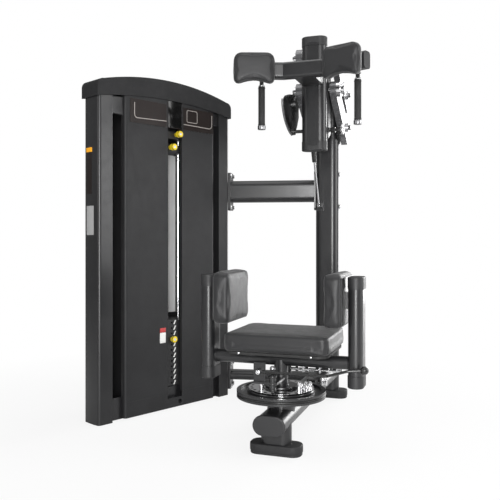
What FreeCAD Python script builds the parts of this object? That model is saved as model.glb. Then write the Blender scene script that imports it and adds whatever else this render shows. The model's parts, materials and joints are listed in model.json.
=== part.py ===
import FreeCAD, Part
import math
import os
import re
import Sketcher
from FreeCAD import Placement, Rotation, Vector

# Kneeling rotary torso machine.
# Frame: +Z up, +Y from the front foot towards the main post, +X away from the weight tower.
# Origin: centre of the front foot's sole. Lengths in millimetres, angles in degrees.

SIZES = {
    # Oval tube that most of the frame is made of
    "tube_width": 114, "tube_thick": 66, "tube_wall": 3, "tube_cap_depth": 9, "tube_cap_rim": 3,
    # Feet, base tube and main post
    "foot_length": 195, "foot_depth": 85, "foot_height": 38, "foot_corner": 18, "foot_bevel": 7,
    "base_axis_height": 122, "base_front_reach": 100, "base_rear_reach": 66,
    "axis_place": 62, "post_place": 892, "post_rise": 42,
    # Tubes that tie the post and the base to the weight tower
    "tie_angle": 10.6, "tie_start_x": 483, "tie_start_y": 812,
    "upper_tie_height": 1013, "upper_tie_tall": 110, "upper_tie_thick": 60, "upper_tie_length": 432.7,
    "lower_tie_height": 91, "lower_tie_tall": 44, "lower_tie_wide": 84, "lower_tie_length": 470,
    "flange_thick": 8, "upper_flange_tall": 188, "lower_flange_tall": 140, "flange_wide": 92,
    "lower_flange_height": 94, "tie_bolt_spread": 158, "bolt_radius": 6, "bolt_head_radius": 10,
    "bolt_head_height": 7, "bolt_side_share": 1.6, "bolt_end_share": 1.5,
    # Chest linkage: two pairs of parallel arms from the post to the chest carrier
    "lower_pivot_height": 1320, "pivot_spacing": 158, "link_reach": 230, "link_rise": 140,
    "link_front_radius": 36, "link_rear_tall": 108, "link_tail": 74, "link_thick": 30, "link_inner": 64,
    "pivot_radius": 10, "running_gap": 0.06, "nut_radius": 21, "nut_thick": 12,
    "hub_radius": 36, "hub_rim": 9, "hub_waist": 24, "hub_length": 34, "star_radius": 29, "star_thick": 7,
    "side_plate_thick": 5, "side_plate_wide": 64, "side_plate_drop": 78, "side_plate_point": 30,
    # Chest carrier, its rear bracket, crossbar and box bracket
    "carrier_place": 612, "carrier_drop": 285, "carrier_rise": 71,
    "carrier_cap_height": 42, "carrier_cap_rim": 1.5, "cap_soft": 4.5,
    "channel_depth": 52, "channel_wall": 5, "channel_drop": 224, "channel_rise": 24,
    "crossbar_rise": 37, "crossbar_place": 412, "crossbar_tall": 70, "crossbar_thick": 50,
    "crossbar_sweep": 20, "crossbar_half": 290, "crossbar_bend": 90, "crossbar_cap": 6,
    "crossbar_round": 14, "crossbar_wall": 5, "pad_standoff": 26.5,
    "pad_along": 128, "standoff_wide": 60, "standoff_tall": 40,
    "box_half_width": 46, "box_tall": 62, "box_start": 420, "box_wall": 6,
    # Chest pads, boards, grips
    "chest_pad_width": 173, "chest_pad_tall": 130, "chest_pad_thick": 42, "chest_pad_corner": 32,
    "chest_arch_radius": 121,
    "chest_pad_drop": 8, "pad_board_thick": 6, "seat_gap": 0.3,
    "pad_board_inset": 16,
    "grip_spread": 215, "grip_place": 496, "grip_neck": 41, "grip_long": 173, "grip_radius": 15,
    "grip_end": 17, "grip_core": 9, "grip_arm_drop": 13, "grip_arm_wide": 30, "grip_arm_thick": 8,
    # Gas strut and height lock
    "strut_side": 30, "strut_foot_place": 834, "strut_foot_height": 940, "lock_place": 676,
    "lock_drop": 182, "strut_tube_radius": 11, "strut_rod_radius": 5, "strut_tube_length": 138,
    "loop_gap": 0.3,
    "strut_eye_wall": 5, "strut_eye_play": 4.5, "strut_eye_thick": 12, "strut_overlap": 60,
    "strut_foot_eye": 10, "clevis_wide": 36, "clevis_tall": 54, "clevis_thick": 6, "clevis_ear": 5,
    "strut_pin_radius": 5, "lock_shaft_radius": 8,
    "lock_shaft_half": 108, "lock_plate_thick": 8, "lock_hub_radius": 36, "lock_hub_length": 46,
    "lock_plate_inner": 150, "lock_spacer_radius": 12,
    "lock_hub_back": 38, "lock_hub_rise": 133, "lock_boss_radius": 15,
    # Turntable
    "disc_radius": 166, "disc_bottom": 194, "disc_thick": 25, "disc_web": 17, "rim_groove": 5,
    "rim_groove_half": 4, "disc_rim": 14,
    "disc_land": 126, "bearing_radius": 52, "spindle_radius": 20, "spindle_rise": 56, "spindle_foot": 4,
    "ring_outer": 122, "ring_inner": 74, "ring_thick": 8, "index_radius": 110, "index_hole_radius": 5.5,
    "stop_pin_radius": 8, "stop_pin_rise": 28, "stop_place": 83,
    "index_step": 15, "stop_angle_left": 226, "stop_angle_right": 338,
    # Kneeling platform
    "platform_gap": 1, "column_radius": 26, "column_flange_radius": 62, "column_flange_thick": 8,
    "tongue_height": 260, "tongue_thick": 8, "tongue_wide": 40, "saddle_place": 110, "saddle_wide": 40,
    "saddle_deep": 120, "saddle_thick": 8,
    "cross_height": 331, "cross_radius": 24, "cross_wall": 3,
    "thigh_tube_place": 283, "thigh_tube_deep": 100, "thigh_tube_thick": 54, "thigh_tube_bottom": 292,
    "thigh_tube_top": 600, "thigh_cap_height": 44, "thigh_cap_rim": 2,
    "thigh_pad_inner": 180, "thigh_pad_thick": 60, "thigh_pad_deep": 257, "thigh_pad_tall": 197,
    "thigh_pad_front": 35, "thigh_pad_bottom": 460, "thigh_pad_corner": 26, "thigh_plate_thick": 5,
    "thigh_plate_inset": 15, "thigh_bracket_tall": 60,
    "thigh_bracket_deep": 40,
    "knee_width": 402, "knee_depth": 326, "knee_front": 40, "knee_thick": 66,
    "knee_corner": 40, "knee_board_thick": 10, "cushion_draw": 5, "cushion_crown": 14,
    "cushion_soft": 5, "knee_board_inset": 8,
    # Start position pin and its lever
    "start_pin_radius": 5, "start_body_radius": 13, "start_body_rise": 58,
    "start_knob_radius": 14, "start_knob_tall": 15, "start_pin_clear": 0.6, "start_body_bottom": 234,
    "lever_knob_gap": 1,
    "lever_height": 304, "lever_radius": 5, "lever_place": 60, "lever_pivot": 48, "ball_radius": 15,
    "lever_tip": 320, "lever_tip_place": 0, "lever_side_rise": 12,
    "lever_tip_rise": 16, "lever_bend": 200, "lever_side": 262, "lever_side_place": 14,
    "lever_bracket_wide": 44, "lever_bracket_tall": 76, "lever_bracket_thick": 6,
    "lever_eye_radius": 12, "lever_bolt_radius": 5, "lever_bolt_head": 9,
    # Weight tower, in its own axes: along its face, into its depth, up
    "tower_x": 791, "tower_y": 76, "tower_turn": 64.8, "tower_width": 755, "cap_side": 8,
    "column_width": 69,
    "column_depth": 110, "column_bulge": 14, "column_curve": 400, "column_wall": 4, "column_top": 1420,
    "cap_low": 1374, "arch_rise": 34,
    "cap_shoulder": 1449, "cap_arch": 46, "cap_front": 6, "cap_depth": 122, "cap_wall": 5,
    "cap_corner": 30, "plinth_height": 72, "plinth_lift": 4, "panel_start": 131, "panel_end": 655,
    "slot_start": 367, "slot_end": 450, "sheet_wall": 3, "panel_return": 26, "slot_return": 16,
    "panel_round": 14,
    "rear_depth": 160, "rear_start": 150, "panel_top": 1416,
    "base_plate_front": 27, "base_plate_depth": 120, "base_plate_thick": 28, "kick_height": 95, "beam_wall": 5,
    "beam_start": 40, "beam_depth": 100, "stub_length": 100,
    "notch_tall": 24, "shroud_hole_radius": 11, "rear_end": 640, "beam_tall": 36, "beam_height": 1348,
    # Weight stack
    "stack_centre": 408, "stack_depth_place": 70, "plate_width": 300, "plate_depth": 96,
    "plate_thick": 24.5, "plate_pitch": 25.3, "lifted_count": 4, "resting_count": 8, "stack_bottom": 99.5,
    "stem_hole_radius": 13.5, "stem_foot": 108, "add_weight_tall": 34, "add_weight_drop": 21,
    "rod_spacing": 154, "rod_radius": 9, "rod_clear": 1.5, "collar_thick": 9, "stem_radius": 12,
    "stem_rise": 60,
    "bumper_radius": 22, "selector_radius": 4.5, "selector_grip_radius": 14, "selector_grip_length": 22,
    "selector_clear": 0.4, "knob_radius": 15, "knob_length": 34, "knob_pin_radius": 4,
    "upper_knob_height": 1260, "upper_knob_along": 432, "lower_knob_height": 1198, "lower_knob_along": 397,
    # Instruction plates and slot strips
    "notice_thick": 1.5, "notice_bottom": 1284, "notice_tall": 104, "left_notice_start": 158,
    "left_notice_end": 358, "right_notice_start": 458, "right_notice_end": 646,
    "guide_strip_wide": 43, "guide_strip_place": 59, "guide_strip_front": 122,
    "guide_strip_bottom": 425, "guide_strip_top": 1187,
    # Cable and pulleys
    "cable_radius": 3, "pulley_radius": 34, "pulley_width": 22, "pulley_groove": 6, "pulley_bore": 8,
    "top_pulley_height": 1310, "pulley_side_gap": 1, "pulley_post_radius": 12, "post_collar_radius": 17,
    "pulley_plate": 5, "pulley_plate_half": 16, "corner_along": 797, "belt_wrap": 150, "rear_pulley_x": 195,
    "rear_pulley_y": 866, "cable_gap": 0.3,
}

# Lengths and places that follow from the sizes above
DERIVED = {
    "tube_half": "(tube_width / 2)",
    "base_top": "(base_axis_height + tube_thick / 2)",
    "upper_pivot_height": "(lower_pivot_height + pivot_spacing)",
    "front_pivot_place": "(post_place - link_reach)",
    "lower_front_height": "(lower_pivot_height + link_rise)",
    "upper_front_height": "(upper_pivot_height + link_rise)",
    "post_top": "(upper_pivot_height + post_rise)",
    "carrier_bottom": "(lower_front_height - carrier_drop)",
    "carrier_top": "(upper_front_height + carrier_rise)",
    "channel_bottom": "(lower_front_height - channel_drop)",
    "channel_top": "(upper_front_height + channel_rise)",
    "crossbar_height": "(lower_front_height + crossbar_rise)",
    "chest_pad_height": "(crossbar_height - chest_pad_drop)",
    "grip_arm_height": "(crossbar_height - grip_arm_drop)",
    "grip_top": "(crossbar_height - grip_neck)",
    "grip_bottom": "(grip_top - grip_long)",
    "lock_height": "(lower_front_height - lock_drop)",
    "carrier_back": "(carrier_place + tube_thick / 2)",
    "disc_top": "(disc_bottom + disc_thick)",
    "ring_bottom": "(disc_bottom + disc_thick)",
    "ring_top": "(disc_bottom + disc_thick + ring_thick)",
    "column_base": "(disc_bottom + disc_thick + ring_thick + platform_gap)",
    "knee_board_bottom": "(cross_height + cross_radius + seat_gap)",
    "knee_bottom": "(cross_height + cross_radius + 2 * seat_gap + knee_board_thick)",
    "lever_knob_bottom": "(lever_height + lever_radius + lever_knob_gap)",
    "link_length": "(sqrt(link_reach ^ 2 + link_rise ^ 2))",
    "strut_length": "(sqrt((strut_foot_place - lock_place) ^ 2 + (lock_height - strut_foot_height) ^ 2))",
    "strut_eye_radius": "(lock_shaft_radius + strut_eye_play)",
    "lifted_top": "(stack_bottom + (resting_count + lifted_count) * plate_pitch)",
    "pin_height": "(stack_bottom + resting_count * plate_pitch + plate_thick / 2)",
    "wrap_radius": "(pulley_radius - pulley_groove + cable_radius)",
    "cable_depth": "(stack_depth_place + 2 * (pulley_radius - pulley_groove + cable_radius))",
    "drive_height": "(disc_bottom + disc_thick / 2)",
    "arch_radius": "(((tower_width / 2 + cap_side) ^ 2 + arch_rise ^ 2) / (2 * arch_rise))",
    "cap_radius": "(((tower_width / 2 + cap_side - cap_corner) ^ 2 + cap_arch ^ 2) / (2 * cap_arch))",
    "low_pulley_height": "(disc_bottom + disc_thick / 2 + pulley_radius - pulley_groove + cable_radius)",
    "low_pulley_along": "(stack_centre + pulley_radius - pulley_groove + cable_radius)",
    "pulley_depth": "(stack_depth_place + pulley_radius - pulley_groove + cable_radius)",
    "drum_radius": "(disc_radius - rim_groove + cable_radius + cable_gap)",
}

os.makedirs("parts", exist_ok=True)
doc = FreeCAD.newDocument("RotaryTorsoMachine")
sheet = doc.addObject("Spreadsheet::Sheet", "Sizes")
for row, (alias, value) in enumerate(SIZES.items(), start=1):
    sheet.set(f"A{row}", alias)
    sheet.set(f"B{row}", str(value))
    sheet.setAlias(f"B{row}", alias)
doc.recompute()
WORD = re.compile(r"[a-z][a-z_]*")


def formula(text):
    """A text of size names as an expression on the sheet's cells."""
    def swap(found):
        word = found.group(0)
        if word in DERIVED:
            return formula(DERIVED[word])
        return "Sizes." + word if word in SIZES else word
    return WORD.sub(swap, text)


def size(text):
    """The number that a text of size names comes to."""
    return float(sheet.evalExpression(formula(text)))


# Helpers: names, places and turns

NODES = {}
X_AXIS = Vector(1, 0, 0)
Y_AXIS = Vector(0, 1, 0)
Z_AXIS = Vector(0, 0, 1)
ALONG_X = Rotation(Y_AXIS, 90)
ALONG_Y = Rotation(X_AXIS, -90)
FACING_X = Rotation(Vector(1, 1, 1), 120)
FACING_Y = Rotation(X_AXIS, 90)


def keep(obj, node):
    """Names a finished sub-part after its file."""
    obj.Label = node
    NODES[node] = obj
    return obj


def place(obj, x="0", y="0", z="0", turn=None):
    """Puts an object at a point given in size names, after an optional fixed turn."""
    if turn is not None:
        obj.Placement = Placement(Vector(0, 0, 0), turn)
    obj.setExpression("Placement.Base.x", formula(x))
    obj.setExpression("Placement.Base.y", formula(y))
    obj.setExpression("Placement.Base.z", formula(z))
    return obj


def place_in_tower(obj):
    """Moves an object drawn in the tower's own axes to the tower."""
    obj.Placement = Placement(Vector(0, 0, 0), Rotation(Z_AXIS, size("tower_turn")))
    obj.setExpression("Placement.Rotation.Angle", formula("tower_turn"))
    obj.setExpression("Placement.Base.x", formula("-tower_x"))
    obj.setExpression("Placement.Base.y", formula("tower_y"))
    return obj


def tower_placement():
    """The same move as a placement, for shapes that are set in code."""
    return Placement(Vector(-size("tower_x"), size("tower_y"), 0), Rotation(Z_AXIS, size("tower_turn")))


# Helpers: primitives and booleans bound to the sheet

def box(name, long, deep, tall, x="0", y="0", z="0", turn=None):
    obj = doc.addObject("Part::Box", name)
    obj.setExpression("Length", formula(long))
    obj.setExpression("Width", formula(deep))
    obj.setExpression("Height", formula(tall))
    return place(obj, x, y, z, turn)


def cylinder(name, radius, long, x="0", y="0", z="0", turn=None):
    obj = doc.addObject("Part::Cylinder", name)
    obj.setExpression("Radius", formula(radius))
    obj.setExpression("Height", formula(long))
    return place(obj, x, y, z, turn)


def cut(name, base, *tools):
    for count, tool in enumerate(tools):
        obj = doc.addObject("Part::Cut", f"{name}Cut{count}")
        obj.Base = base
        obj.Tool = tool
        base = obj
    return base


def fuse(name, base, *others):
    for count, other in enumerate(others):
        obj = doc.addObject("Part::Fuse", f"{name}Fuse{count}")
        obj.Base = base
        obj.Tool = other
        base = obj
    return base


def group(node, shapes, where=None):
    """Several separate solids of one node, set in code from finished shapes."""
    obj = doc.addObject("Part::Feature", "Group_" + node)
    obj.Shape = Part.makeCompound(shapes) if len(shapes) > 1 else shapes[0]
    if where is not None:
        obj.Placement = where
    return keep(obj, node)


# Helpers: outlines. A corner is (x, y) or (x, y, radius, side), where the stretch to the next
# corner is an arc, side 1 bulging outwards on an outline drawn counter-clockwise.

def corner_points(corners):
    return [Vector(size(c[0]), size(c[1]), 0) for c in corners]


def arc_through(start, end, radius, side):
    """The minor arc between two points with its middle point."""
    half = (end - start).Length / 2
    middle = (start + end) * 0.5
    across = Vector(start.y - end.y, end.x - start.x, 0).normalize()
    rise = math.sqrt(max(radius * radius - half * half, 0.0))
    centre = middle + across * rise * side
    middle = centre - across * radius * side
    return Part.Arc(start, middle, end) if side > 0 else Part.Arc(end, middle, start)


def outline_curves(corners):
    points = corner_points(corners)
    curves = []
    for index, corner in enumerate(corners):
        start = points[index]
        end = points[(index + 1) % len(points)]
        if len(corner) == 2:
            curves.append(Part.LineSegment(start, end))
        else:
            curves.append(arc_through(start, end, size(corner[2]), corner[3]))
    return curves


def add_outline(sketch, corners):
    """Draws a closed outline whose corners and radii follow the sheet."""
    points = corner_points(corners)
    first = sketch.GeometryCount
    for curve in outline_curves(corners):
        sketch.addGeometry(curve, False)
    for index, corner in enumerate(corners):
        here = first + index
        after = first + (index + 1) % len(corners)
        starts = (sketch.Geometry[here].StartPoint - points[index]).Length < size("running_gap")
        begin = 1 if starts else 2
        next_point = points[(index + 1) % len(corners)]
        next_starts = (sketch.Geometry[after].StartPoint - next_point).Length < size("running_gap")
        across = sketch.addConstraint(
            Sketcher.Constraint("DistanceX", -1, 1, here, begin, points[index].x))
        sketch.setExpression(f"Constraints[{across}]", formula(corner[0]))
        upward = sketch.addConstraint(
            Sketcher.Constraint("DistanceY", -1, 1, here, begin, points[index].y))
        sketch.setExpression(f"Constraints[{upward}]", formula(corner[1]))
        sketch.addConstraint(
            Sketcher.Constraint("Coincident", here, 3 - begin, after, 1 if next_starts else 2))
        if len(corner) > 2:
            bend = sketch.addConstraint(Sketcher.Constraint("Radius", here, size(corner[2])))
            sketch.setExpression(f"Constraints[{bend}]", formula(corner[2]))


def add_circle(sketch, x, y, radius):
    centre = Vector(size(x), size(y), 0)
    index = sketch.addGeometry(Part.Circle(centre, Z_AXIS, size(radius)), False)
    across = sketch.addConstraint(Sketcher.Constraint("DistanceX", -1, 1, index, 3, centre.x))
    sketch.setExpression(f"Constraints[{across}]", formula(x))
    upward = sketch.addConstraint(Sketcher.Constraint("DistanceY", -1, 1, index, 3, centre.y))
    sketch.setExpression(f"Constraints[{upward}]", formula(y))
    around = sketch.addConstraint(Sketcher.Constraint("Radius", index, size(radius)))
    sketch.setExpression(f"Constraints[{around}]", formula(radius))


def new_body(name):
    return doc.addObject("PartDesign::Body", name)


def new_sketch(body, name, role="XY_Plane"):
    plane = [part for part in body.Origin.OriginFeatures if part.Role == role][0]
    sketch = body.newObject("Sketcher::SketchObject", name)
    sketch.AttachmentSupport = [(plane, "")]
    sketch.MapMode = "FlatFace"
    return sketch


def extruded(name, thick, outlines, circles=()):
    """A body padded upwards from outlines (the first is the outside) and round holes."""
    body = new_body(name)
    sketch = new_sketch(body, name + "Outline")
    for corners in outlines:
        add_outline(sketch, corners)
    for circle in circles:
        add_circle(sketch, *circle)
    pad = body.newObject("PartDesign::Pad", name + "Pad")
    pad.Profile = sketch
    pad.setExpression("Length", formula(thick))
    sketch.Visibility = False
    return body


def turned(name, corners):
    """A body turned round its own Z axis from an outline of (radius, height) corners."""
    body = new_body(name)
    sketch = new_sketch(body, name + "Profile", "XZ_Plane")
    add_outline(sketch, corners)
    spin = body.newObject("PartDesign::Revolution", name + "Turn")
    spin.Profile = sketch
    spin.ReferenceAxis = (sketch, ["V_Axis"])
    spin.Angle = 360
    return body


def oval(wide, thick):
    """Corners of an oval section, wide along x."""
    flat = f"(({wide}) / 2 - ({thick}) / 2)"
    radius = f"(({thick}) / 2)"
    end = f"(({wide}) / 2)"
    return [("-" + flat, "-" + radius), (flat, "-" + radius, radius, 1), (end, "0", radius, 1),
            (flat, radius), ("-" + flat, radius, radius, 1), ("-" + end, "0", radius, 1)]


def rounded(left, low, right, high, radius):
    """Corners of a rectangle with rounded corners."""
    return [(f"({left}) + ({radius})", low), (f"({right}) - ({radius})", low, radius, 1),
            (right, f"({low}) + ({radius})"), (right, f"({high}) - ({radius})", radius, 1),
            (f"({right}) - ({radius})", high), (f"({left}) + ({radius})", high, radius, 1),
            (left, f"({high}) - ({radius})"), (left, f"({low}) + ({radius})", radius, 1)]


def plain(left, low, right, high):
    """Corners of a plain rectangle."""
    return [(left, low), (right, low), (right, high), (left, high)]


def oval_tube(name, long, wide="tube_width", thick="tube_thick", wall="tube_wall"):
    inner = oval(f"({wide}) - 2 * {wall}", f"({thick}) - 2 * {wall}")
    return extruded(name, long, [oval(wide, thick), inner])


def oval_bar(name, long, wide="tube_width", thick="tube_thick"):
    return extruded(name, long, [oval(wide, thick)])


def extruded_in_depth(name, thick, outlines, front="0"):
    """A body whose outlines are (across, up) and which grows into the depth from the plane front."""
    body = new_body(name)
    sketch = new_sketch(body, name + "Outline", "XZ_Plane")
    sketch.setExpression("AttachmentOffset.Base.z", formula(f"-({front})"))
    for corners in outlines:
        add_outline(sketch, corners)
    pad = body.newObject("PartDesign::Pad", name + "Pad")
    pad.Profile = sketch
    pad.setExpression("Length", formula(thick))
    pad.Reversed = True
    return body


def soften_top(body, kind, value, amount):
    """Bevels or rounds all edges of a body's level top face."""
    doc.recompute()
    base = body.Tip
    top = base.Shape.BoundBox.ZMax - size("running_gap")
    faces = [f"Face{i + 1}" for i, face in enumerate(base.Shape.Faces) if face.BoundBox.ZMin > top]
    edge = body.newObject(kind, body.Name + "Edge")
    edge.Base = (base, faces)
    edge.setExpression(value, formula(amount))
    doc.recompute()


# Feet, base tube and main post

def build_feet():
    """Two identical rubber feet with bevelled top edges."""
    body = extruded("Foot", "foot_height", [rounded(
        "-foot_length / 2", "-foot_depth / 2", "foot_length / 2", "foot_depth / 2", "foot_corner")])
    soften_top(body, "PartDesign::Chamfer", "Size", "foot_bevel")
    rear = body.Shape.copy()
    rear.translate(Vector(0, size("post_place"), 0))
    group("feet", [body.Shape, rear])


def base_mandrel(name):
    """The outside of the base tube, which coped pieces are cut with."""
    long = "base_front_reach + post_place + base_rear_reach"
    return place(oval_bar(name, long), "0", "-base_front_reach", "base_axis_height", ALONG_Y)


def build_base_frame():
    """Base tube with the two short posts that stand on the feet."""
    long = "base_front_reach + post_place + base_rear_reach - 2 * tube_cap_depth"
    tube = place(oval_tube("BaseTube", long), "0", "tube_cap_depth - base_front_reach",
                 "base_axis_height", ALONG_Y)
    posts = []
    for name, along in (("FrontFootPost", "0"), ("RearFootPost", "post_place")):
        post = place(oval_tube(name, "base_axis_height - foot_height"), "0", along, "foot_height")
        posts.append(cut(name, post, base_mandrel(name + "Mandrel")))
    keep(fuse("BaseFrame", tube, *posts), "base_frame")


def build_main_post():
    """Oval post coped onto the base tube, with a reinforcing plate on each side for the pivots."""
    long = "post_top - tube_cap_depth - base_axis_height"
    post = cut("PostCope", place(oval_tube("PostTube", long), "0", "post_place", "base_axis_height"),
               base_mandrel("PostMandrel"))
    low = "lower_pivot_height - side_plate_drop"
    high = "upper_pivot_height + side_plate_wide / 2"
    half = "side_plate_wide / 2"
    pieces = []
    for name, inner in (("LeftSidePlate", "-tube_half - side_plate_thick"),
                        ("RightSidePlate", "tube_half - side_plate_thick")):
        corners = [("0", low), (half, f"{low} + side_plate_point"), (half, f"{high} - {half}"),
                   ("0", high, half, 1), (f"-({half})", f"{high} - {half}", half, 1),
                   (f"-({half})", f"{low} + side_plate_point")]
        corners[2] = (half, f"{high} - {half}", half, 1)
        corners[3] = ("0", high, half, 1)
        corners[4] = (f"-({half})", f"{high} - {half}")
        plate = place(extruded(name, "2 * side_plate_thick", [corners]), inner, "post_place", "0",
                      FACING_X)
        pieces.append(cut(name, plate, place(oval_bar(name + "Core", "post_top"), "0", "post_place")))
    post = fuse("PostPlates", post, *pieces)
    holes = [cylinder(f"PostBore{i}", "pivot_radius + running_gap", "4 * tube_half", "-2 * tube_half",
                      "post_place", height, ALONG_X)
             for i, height in enumerate(("lower_pivot_height", "upper_pivot_height"))]
    keep(cut("PostBores", post, *holes), "main_post")


def tube_cap(name, rim="tube_cap_rim", depth="tube_cap_depth", wide="tube_width", thick="tube_thick"):
    """A moulded cap: an oval lid with a softened edge that overlaps the tube by its rim."""
    body = extruded(name, depth, [oval(f"{wide} + 2 * {rim}", f"{thick} + 2 * {rim}")])
    soften_top(body, "PartDesign::Fillet", "Radius", "cap_soft")
    return body


def build_frame_caps():
    """Caps on both ends of the base tube and on top of the post."""
    cap = tube_cap("TubeCap")
    shapes = []
    front = cap.Shape.copy()
    front.Placement = Placement(
        Vector(0, size("tube_cap_depth - base_front_reach"), size("base_axis_height")), FACING_Y)
    rear = cap.Shape.copy()
    rear.Placement = Placement(
        Vector(0, size("post_place + base_rear_reach - tube_cap_depth"), size("base_axis_height")),
        ALONG_Y)
    top = cap.Shape.copy()
    top.Placement = Placement(
        Vector(0, size("post_place"), size("post_top - tube_cap_depth")), Rotation())
    for shape in (front, rear, top):
        shapes.append(shape)
    group("frame_end_caps", shapes)


def tie_placement(along, height):
    """Where a section of a tie stands: along its own line from the tower's flange."""
    angle = math.radians(size("tie_angle"))
    start = Vector(-size("tie_start_x"), size("tie_start_y"), size(height))
    return Placement(start + Vector(math.cos(angle), math.sin(angle), 0) * size(along),
                     Rotation(Z_AXIS, size("tie_angle")) * FACING_X)


def tie_piece(name, body, along, height):
    """Puts a section drawn as (across, up) on the tie's line, growing towards the post."""
    body.Placement = tie_placement("0", height)
    body.setExpression("Placement.Base.x", formula(f"-tie_start_x + cos(tie_angle) * ({along})"))
    body.setExpression("Placement.Base.y", formula(f"tie_start_y + sin(tie_angle) * ({along})"))
    body.setExpression("Placement.Base.z", formula(height))
    return body


def flange(name, tall, along, height):
    corners = rounded("-flange_wide / 2", f"-({tall}) / 2", "flange_wide / 2", f"({tall}) / 2",
                      "bolt_head_radius")
    return tie_piece(name, extruded(name, "flange_thick", [corners]), along, height)


def upright_oval(wide, thick):
    """An oval section that is wide along y."""
    return [(y, x) + tuple(rest) for x, y, *rest in turned_corners(oval(wide, thick))]


def turned_corners(corners):
    """Corners in reverse order, so that swapping x and y keeps the outline counter-clockwise."""
    back = list(reversed(corners))
    result = []
    for index, corner in enumerate(back):
        following = back[(index + 1) % len(back)]
        result.append(tuple(corner[:2]) + tuple(following[2:]))
    return result


def build_upper_tie():
    """Upright oval tube with a flange at each end, from the tower to the post."""
    outer = upright_oval("upper_tie_tall", "upper_tie_thick")
    inner = upright_oval("upper_tie_tall - 2 * tube_wall", "upper_tie_thick - 2 * tube_wall")
    tube = tie_piece("UpperTieTube", extruded("UpperTieTube", "upper_tie_length - 2 * flange_thick",
                                              [outer, inner]), "flange_thick", "upper_tie_height")
    near = flange("UpperTieNear", "upper_flange_tall", "0", "upper_tie_height")
    far = flange("UpperTieFar", "upper_flange_tall", "upper_tie_length - flange_thick",
                 "upper_tie_height")
    post = place(oval_bar("UpperTieCore", "post_top"), "0", "post_place", "0")
    keep(cut("UpperTieCope", fuse("UpperTie", tube, near, far), post), "upper_tie_tube")


def build_lower_tie():
    """Flat oval tube from the tower's lower flange, coped onto the base tube."""
    tube = tie_piece("LowerTieTube", extruded("LowerTieTube", "lower_tie_length", [
        oval("lower_tie_wide", "lower_tie_tall"),
        oval("lower_tie_wide - 2 * tube_wall", "lower_tie_tall - 2 * tube_wall")]),
        "flange_thick", "lower_tie_height")
    foot = place(oval_bar("LowerTieFoot", "base_axis_height"), "0", "post_place", "0")
    tube = cut("LowerTieCope", tube, base_mandrel("LowerTieMandrel"), foot)
    near = flange("LowerTieNear", "lower_flange_tall", "0", "lower_flange_height")
    low = "(drive_height - pulley_width / 2 - cable_gap)"
    base = "lower_tie_height + lower_tie_tall / 2 - tube_wall"
    post = turned("RearPulleyPost", [
        ("0", base), ("post_collar_radius", base), ("post_collar_radius", low),
        ("pulley_post_radius", low), ("pulley_post_radius", f"{low} + pulley_width + 2 * cable_gap"),
        ("post_collar_radius", f"{low} + pulley_width + 2 * cable_gap"),
        ("post_collar_radius", f"{low} + pulley_width + 2 * cable_gap + pulley_plate"),
        ("0", f"{low} + pulley_width + 2 * cable_gap + pulley_plate")])
    place(post, "-rear_pulley_x", "rear_pulley_y", "0")
    keep(fuse("LowerTie", tube, near, post), "lower_tie_tube")


def build_frame_bolts():
    """Hexagon bolt heads on both flanges at the tower and on the post."""
    angle = math.radians(size("tie_angle"))
    head = Part.Face(Part.makePolygon(
        [Vector(size("bolt_head_radius") * math.cos(math.radians(60 * k)),
                size("bolt_head_radius") * math.sin(math.radians(60 * k)), 0) for k in range(7)]))
    head = head.extrude(Vector(0, 0, size("bolt_head_height")))
    bolts = []
    across = size("flange_wide / 2 - bolt_side_share * bolt_head_radius")
    for height, tall in (("upper_tie_height", "upper_flange_tall"),
                         ("lower_flange_height", "lower_flange_tall")):
        for side in (-across, across):
            for up in (-1, 1):
                rise = up * size(f"{tall} / 2 - bolt_end_share * bolt_head_radius")
                bolt = head.copy()
                where = tie_placement("flange_thick", height)
                where.Base = where.Base + Vector(-math.sin(angle), math.cos(angle), 0) * side
                where.Base = where.Base + Vector(0, 0, rise)
                bolt.Placement = where
                bolts.append(bolt)
    for up in (-1, 1):
        bolt = head.copy()
        bolt.Placement = Placement(Vector(size("tube_half"), size("post_place"),
                                          size(f"upper_tie_height + {up} * tie_bolt_spread / 2")),
                                   ALONG_X)
        bolts.append(bolt)
    group("frame_bolts", bolts)


# Pivots and clevis on the post

def pivot_pin(name, half):
    """A pin across the machine with a round head on both ends."""
    radius = "pivot_radius"
    return turned(name, [
        ("0", f"-({half}) - nut_thick"), ("nut_radius", f"-({half}) - nut_thick"),
        ("nut_radius", f"-({half})"), (radius, f"-({half})"), (radius, half),
        ("nut_radius", half), ("nut_radius", f"{half} + nut_thick"), ("0", f"{half} + nut_thick")])


def pivot_hub(name, start):
    """A waisted hub and a star nut, on the right end of the lower front pin."""
    neck = f"{start} + hub_length - star_thick"
    return turned(name, [
        ("0", start), ("hub_radius", start), ("hub_radius", f"{start} + 2 * hub_rim"),
        ("hub_waist", f"{start} + 2 * hub_rim"), ("hub_waist", neck), ("star_radius", neck),
        ("star_radius", f"{start} + hub_length"), ("0", f"{start} + hub_length")])


def build_pivots():
    """Rear pins, fast in the post, and front pins, fast in the carrier's bracket."""
    reach = "link_inner + link_thick + running_gap"
    hub = pivot_hub("PivotHub", reach)
    for node, along, heights in (
            ("rear_pivots", "post_place", ("lower_pivot_height", "upper_pivot_height")),
            ("front_pivots", "front_pivot_place", ("lower_front_height", "upper_front_height"))):
        pin = pivot_pin("Pin_" + node, reach)
        doc.recompute()
        shapes = []
        for height in heights:
            shape = pin.Shape.copy()
            shape.Placement = Placement(Vector(0, size(along), size(height)), ALONG_X)
            if height == "lower_front_height":
                grip = hub.Shape.copy()
                grip.Placement = shape.Placement
                shape = shape.fuse(grip)
            shapes.append(shape)
        group(node, shapes)


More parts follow.
